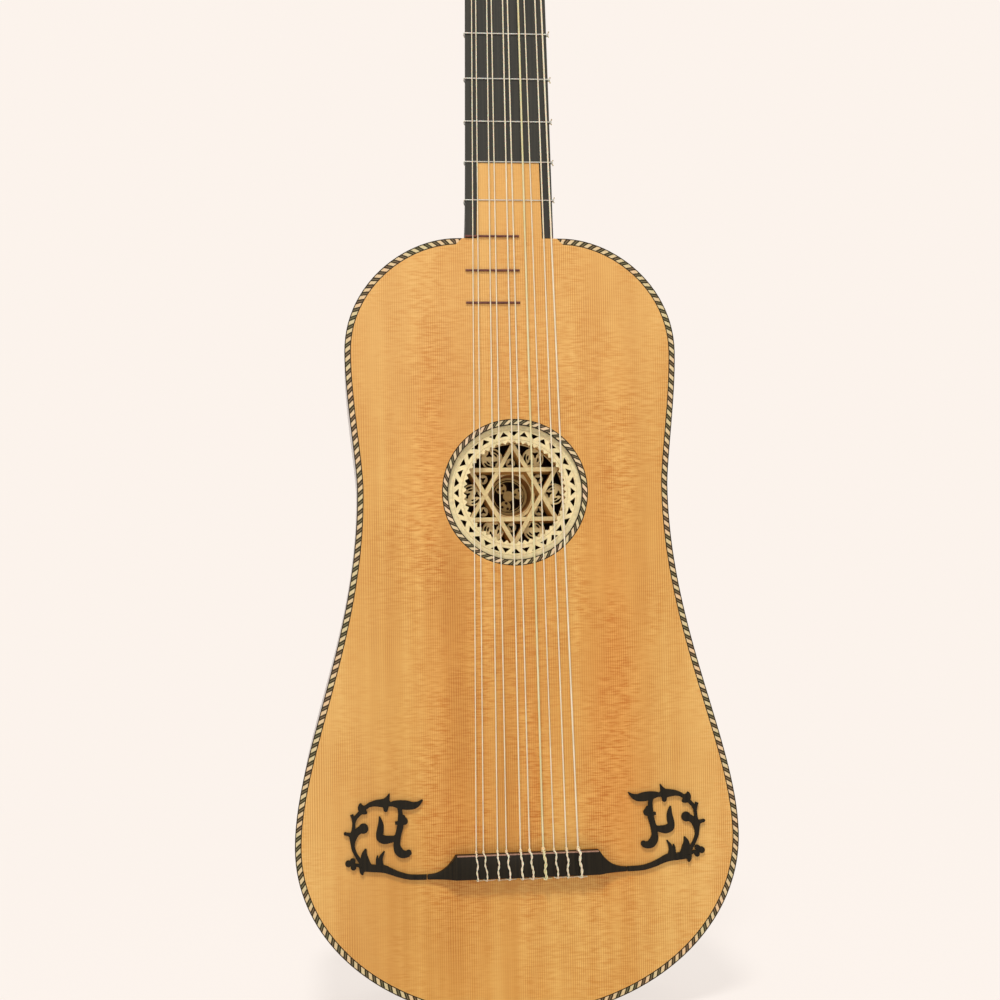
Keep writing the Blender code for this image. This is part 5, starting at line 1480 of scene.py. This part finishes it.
def point_ring(angle):
    """A small ring low down inside one point of the star."""
    centre = polar(POINT_RING_AT, angle, DEEP_OFFSET)
    loops = [circle(centre, POINT_RING_RADIUS, 30, angle), trefoil(centre, POINT_TREFOIL_RADIUS, angle)]
    return plate("point_ring", loops, -POINT_RING_DEPTH - PARCHMENT / 2, -POINT_RING_DEPTH)


def make_star():
    """The sunken tier hangs from the rim by its wall: a star of two triangles, discs and rings."""
    at = BENCH @ Matrix.Translation(STAR_PLACE)
    ledge = -ROUNDEL_DEPTH - PARCHMENT / 3
    floor = ledge - PARCHMENT
    wall = (
        (STAR_WALL_INNER, RIM_BOTTOM), (STAR_WALL_OUTER, RIM_BOTTOM), (STAR_WALL_OUTER, floor),
        (STAR_LEDGE_RADIUS, floor), (STAR_LEDGE_RADIUS, ledge), (STAR_WALL_INNER, ledge),
    )
    shell = turned("rose_star", wall, 96, closed=True)
    edges = [circle(DEEP_OFFSET, radius, 72) for radius in (INNER_RING_OUTER, INNER_RING_INNER)]
    ring = plate("inner_ring", edges, -INNER_RING_DEPTH - PARCHMENT, -INNER_RING_DEPTH)
    shapes = [star_triangle(math.radians(90), 0), star_triangle(math.radians(-90), STAR_BAR_STEP), ring]
    for angle in angles(6):
        shapes += [roundel(angle), point_ring(angle + math.pi / 6)]
    mesh = combined("rose_star", shell, together("star_and_discs", shapes), "UNION")
    add_piece("rose_star", mesh, PARCHMENT_STAR, ["rose_star_tier"], at=at)
    add_piece("rose_lips", roundel_lips(), PARCHMENT_STAR, at=at, angle=80)


def well_lobe(angle):
    """One of the floor's lobes, from the hub out to the wall's ledge, with three round holes."""
    centre = polar(WELL_LOBE_AT, angle)
    loops = [circle(centre, WELL_LOBE_RADIUS, 32, angle)]
    for turn in angles(3, angle + math.pi / 3):
        loops.append(circle(polar(LOBE_HOLE_AT, turn, centre), LOBE_HOLE_RADIUS, 14))
    return plate("well_lobe", loops, -WELL_DEPTH - PARCHMENT + CLEARANCE / 3, -WELL_DEPTH - CLEARANCE / 3)


def make_well():
    """The deepest tier: a tapering wall under the inner ring and a floor of three lobes and a thin ring."""
    at = BENCH @ Matrix.Translation(STAR_PLACE) @ Matrix.Translation((*DEEP_OFFSET, 0))
    roof = -INNER_RING_DEPTH - PARCHMENT
    floor = -WELL_DEPTH - PARCHMENT
    thickness = WELL_TOP_OUTER - WELL_TOP_INNER
    wall = (
        (WELL_TOP_INNER, roof), (WELL_TOP_OUTER, roof), (WELL_FLOOR_OUTER, floor), (WELL_LEDGE_RADIUS, floor),
        (WELL_LEDGE_RADIUS, -WELL_DEPTH), (WELL_FLOOR_OUTER - thickness, -WELL_DEPTH),
    )
    shell = turned("rose_well", wall, 72, closed=True)
    edge = circle((0, 0), WELL_HUB_RADIUS, 36)
    hub = plate("hub", [edge], floor + CLEARANCE / 3, -WELL_DEPTH + CLEARANCE / 2)
    edges = [circle((0, 0), WELL_RING_RADIUS + side * WELL_RING_WIDTH / 2, 64) for side in (1, -1)]
    ring = plate("well_ring", edges, floor + CLEARANCE / 2, -WELL_DEPTH + CLEARANCE)
    shapes = [hub, ring] + [well_lobe(angle) for angle in angles(3, WELL_TURN)]
    mesh = combined("rose_well", shell, together("well_floor", shapes), "UNION")
    add_piece("rose_well", mesh, PARCHMENT_WELL, ["rose_well_tier"], at=at)


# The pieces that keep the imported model's shape

dress("fingerboard", BOARD_EBONY)
dress("nut", BONE)
for number in (10, 11, 12):
    dress(f"body_fret_{number}", FRET_WOOD)
for node in (
    "neck_block", "tail_block", "top_lining_left", "top_lining_right", "back_lining_left", "back_lining_right",
    "top_bar_upper", "top_bar_lower", "back_brace_upper", "back_brace_lower",
):
    dress(node, INSIDE_WOOD)

make_camera()
make_world()
make_floor()
for name, values in LAMPS.items():
    add_lamp(name, *values)
make_soundboard()
make_rope_ring()
make_shell()
make_neck()
make_head()
make_pegs()
make_strings()
make_tied_frets()
make_bridge()
make_moustaches()
make_rim()
make_star()
make_well()

bpy.context.scene.view_settings.view_transform = "Standard"
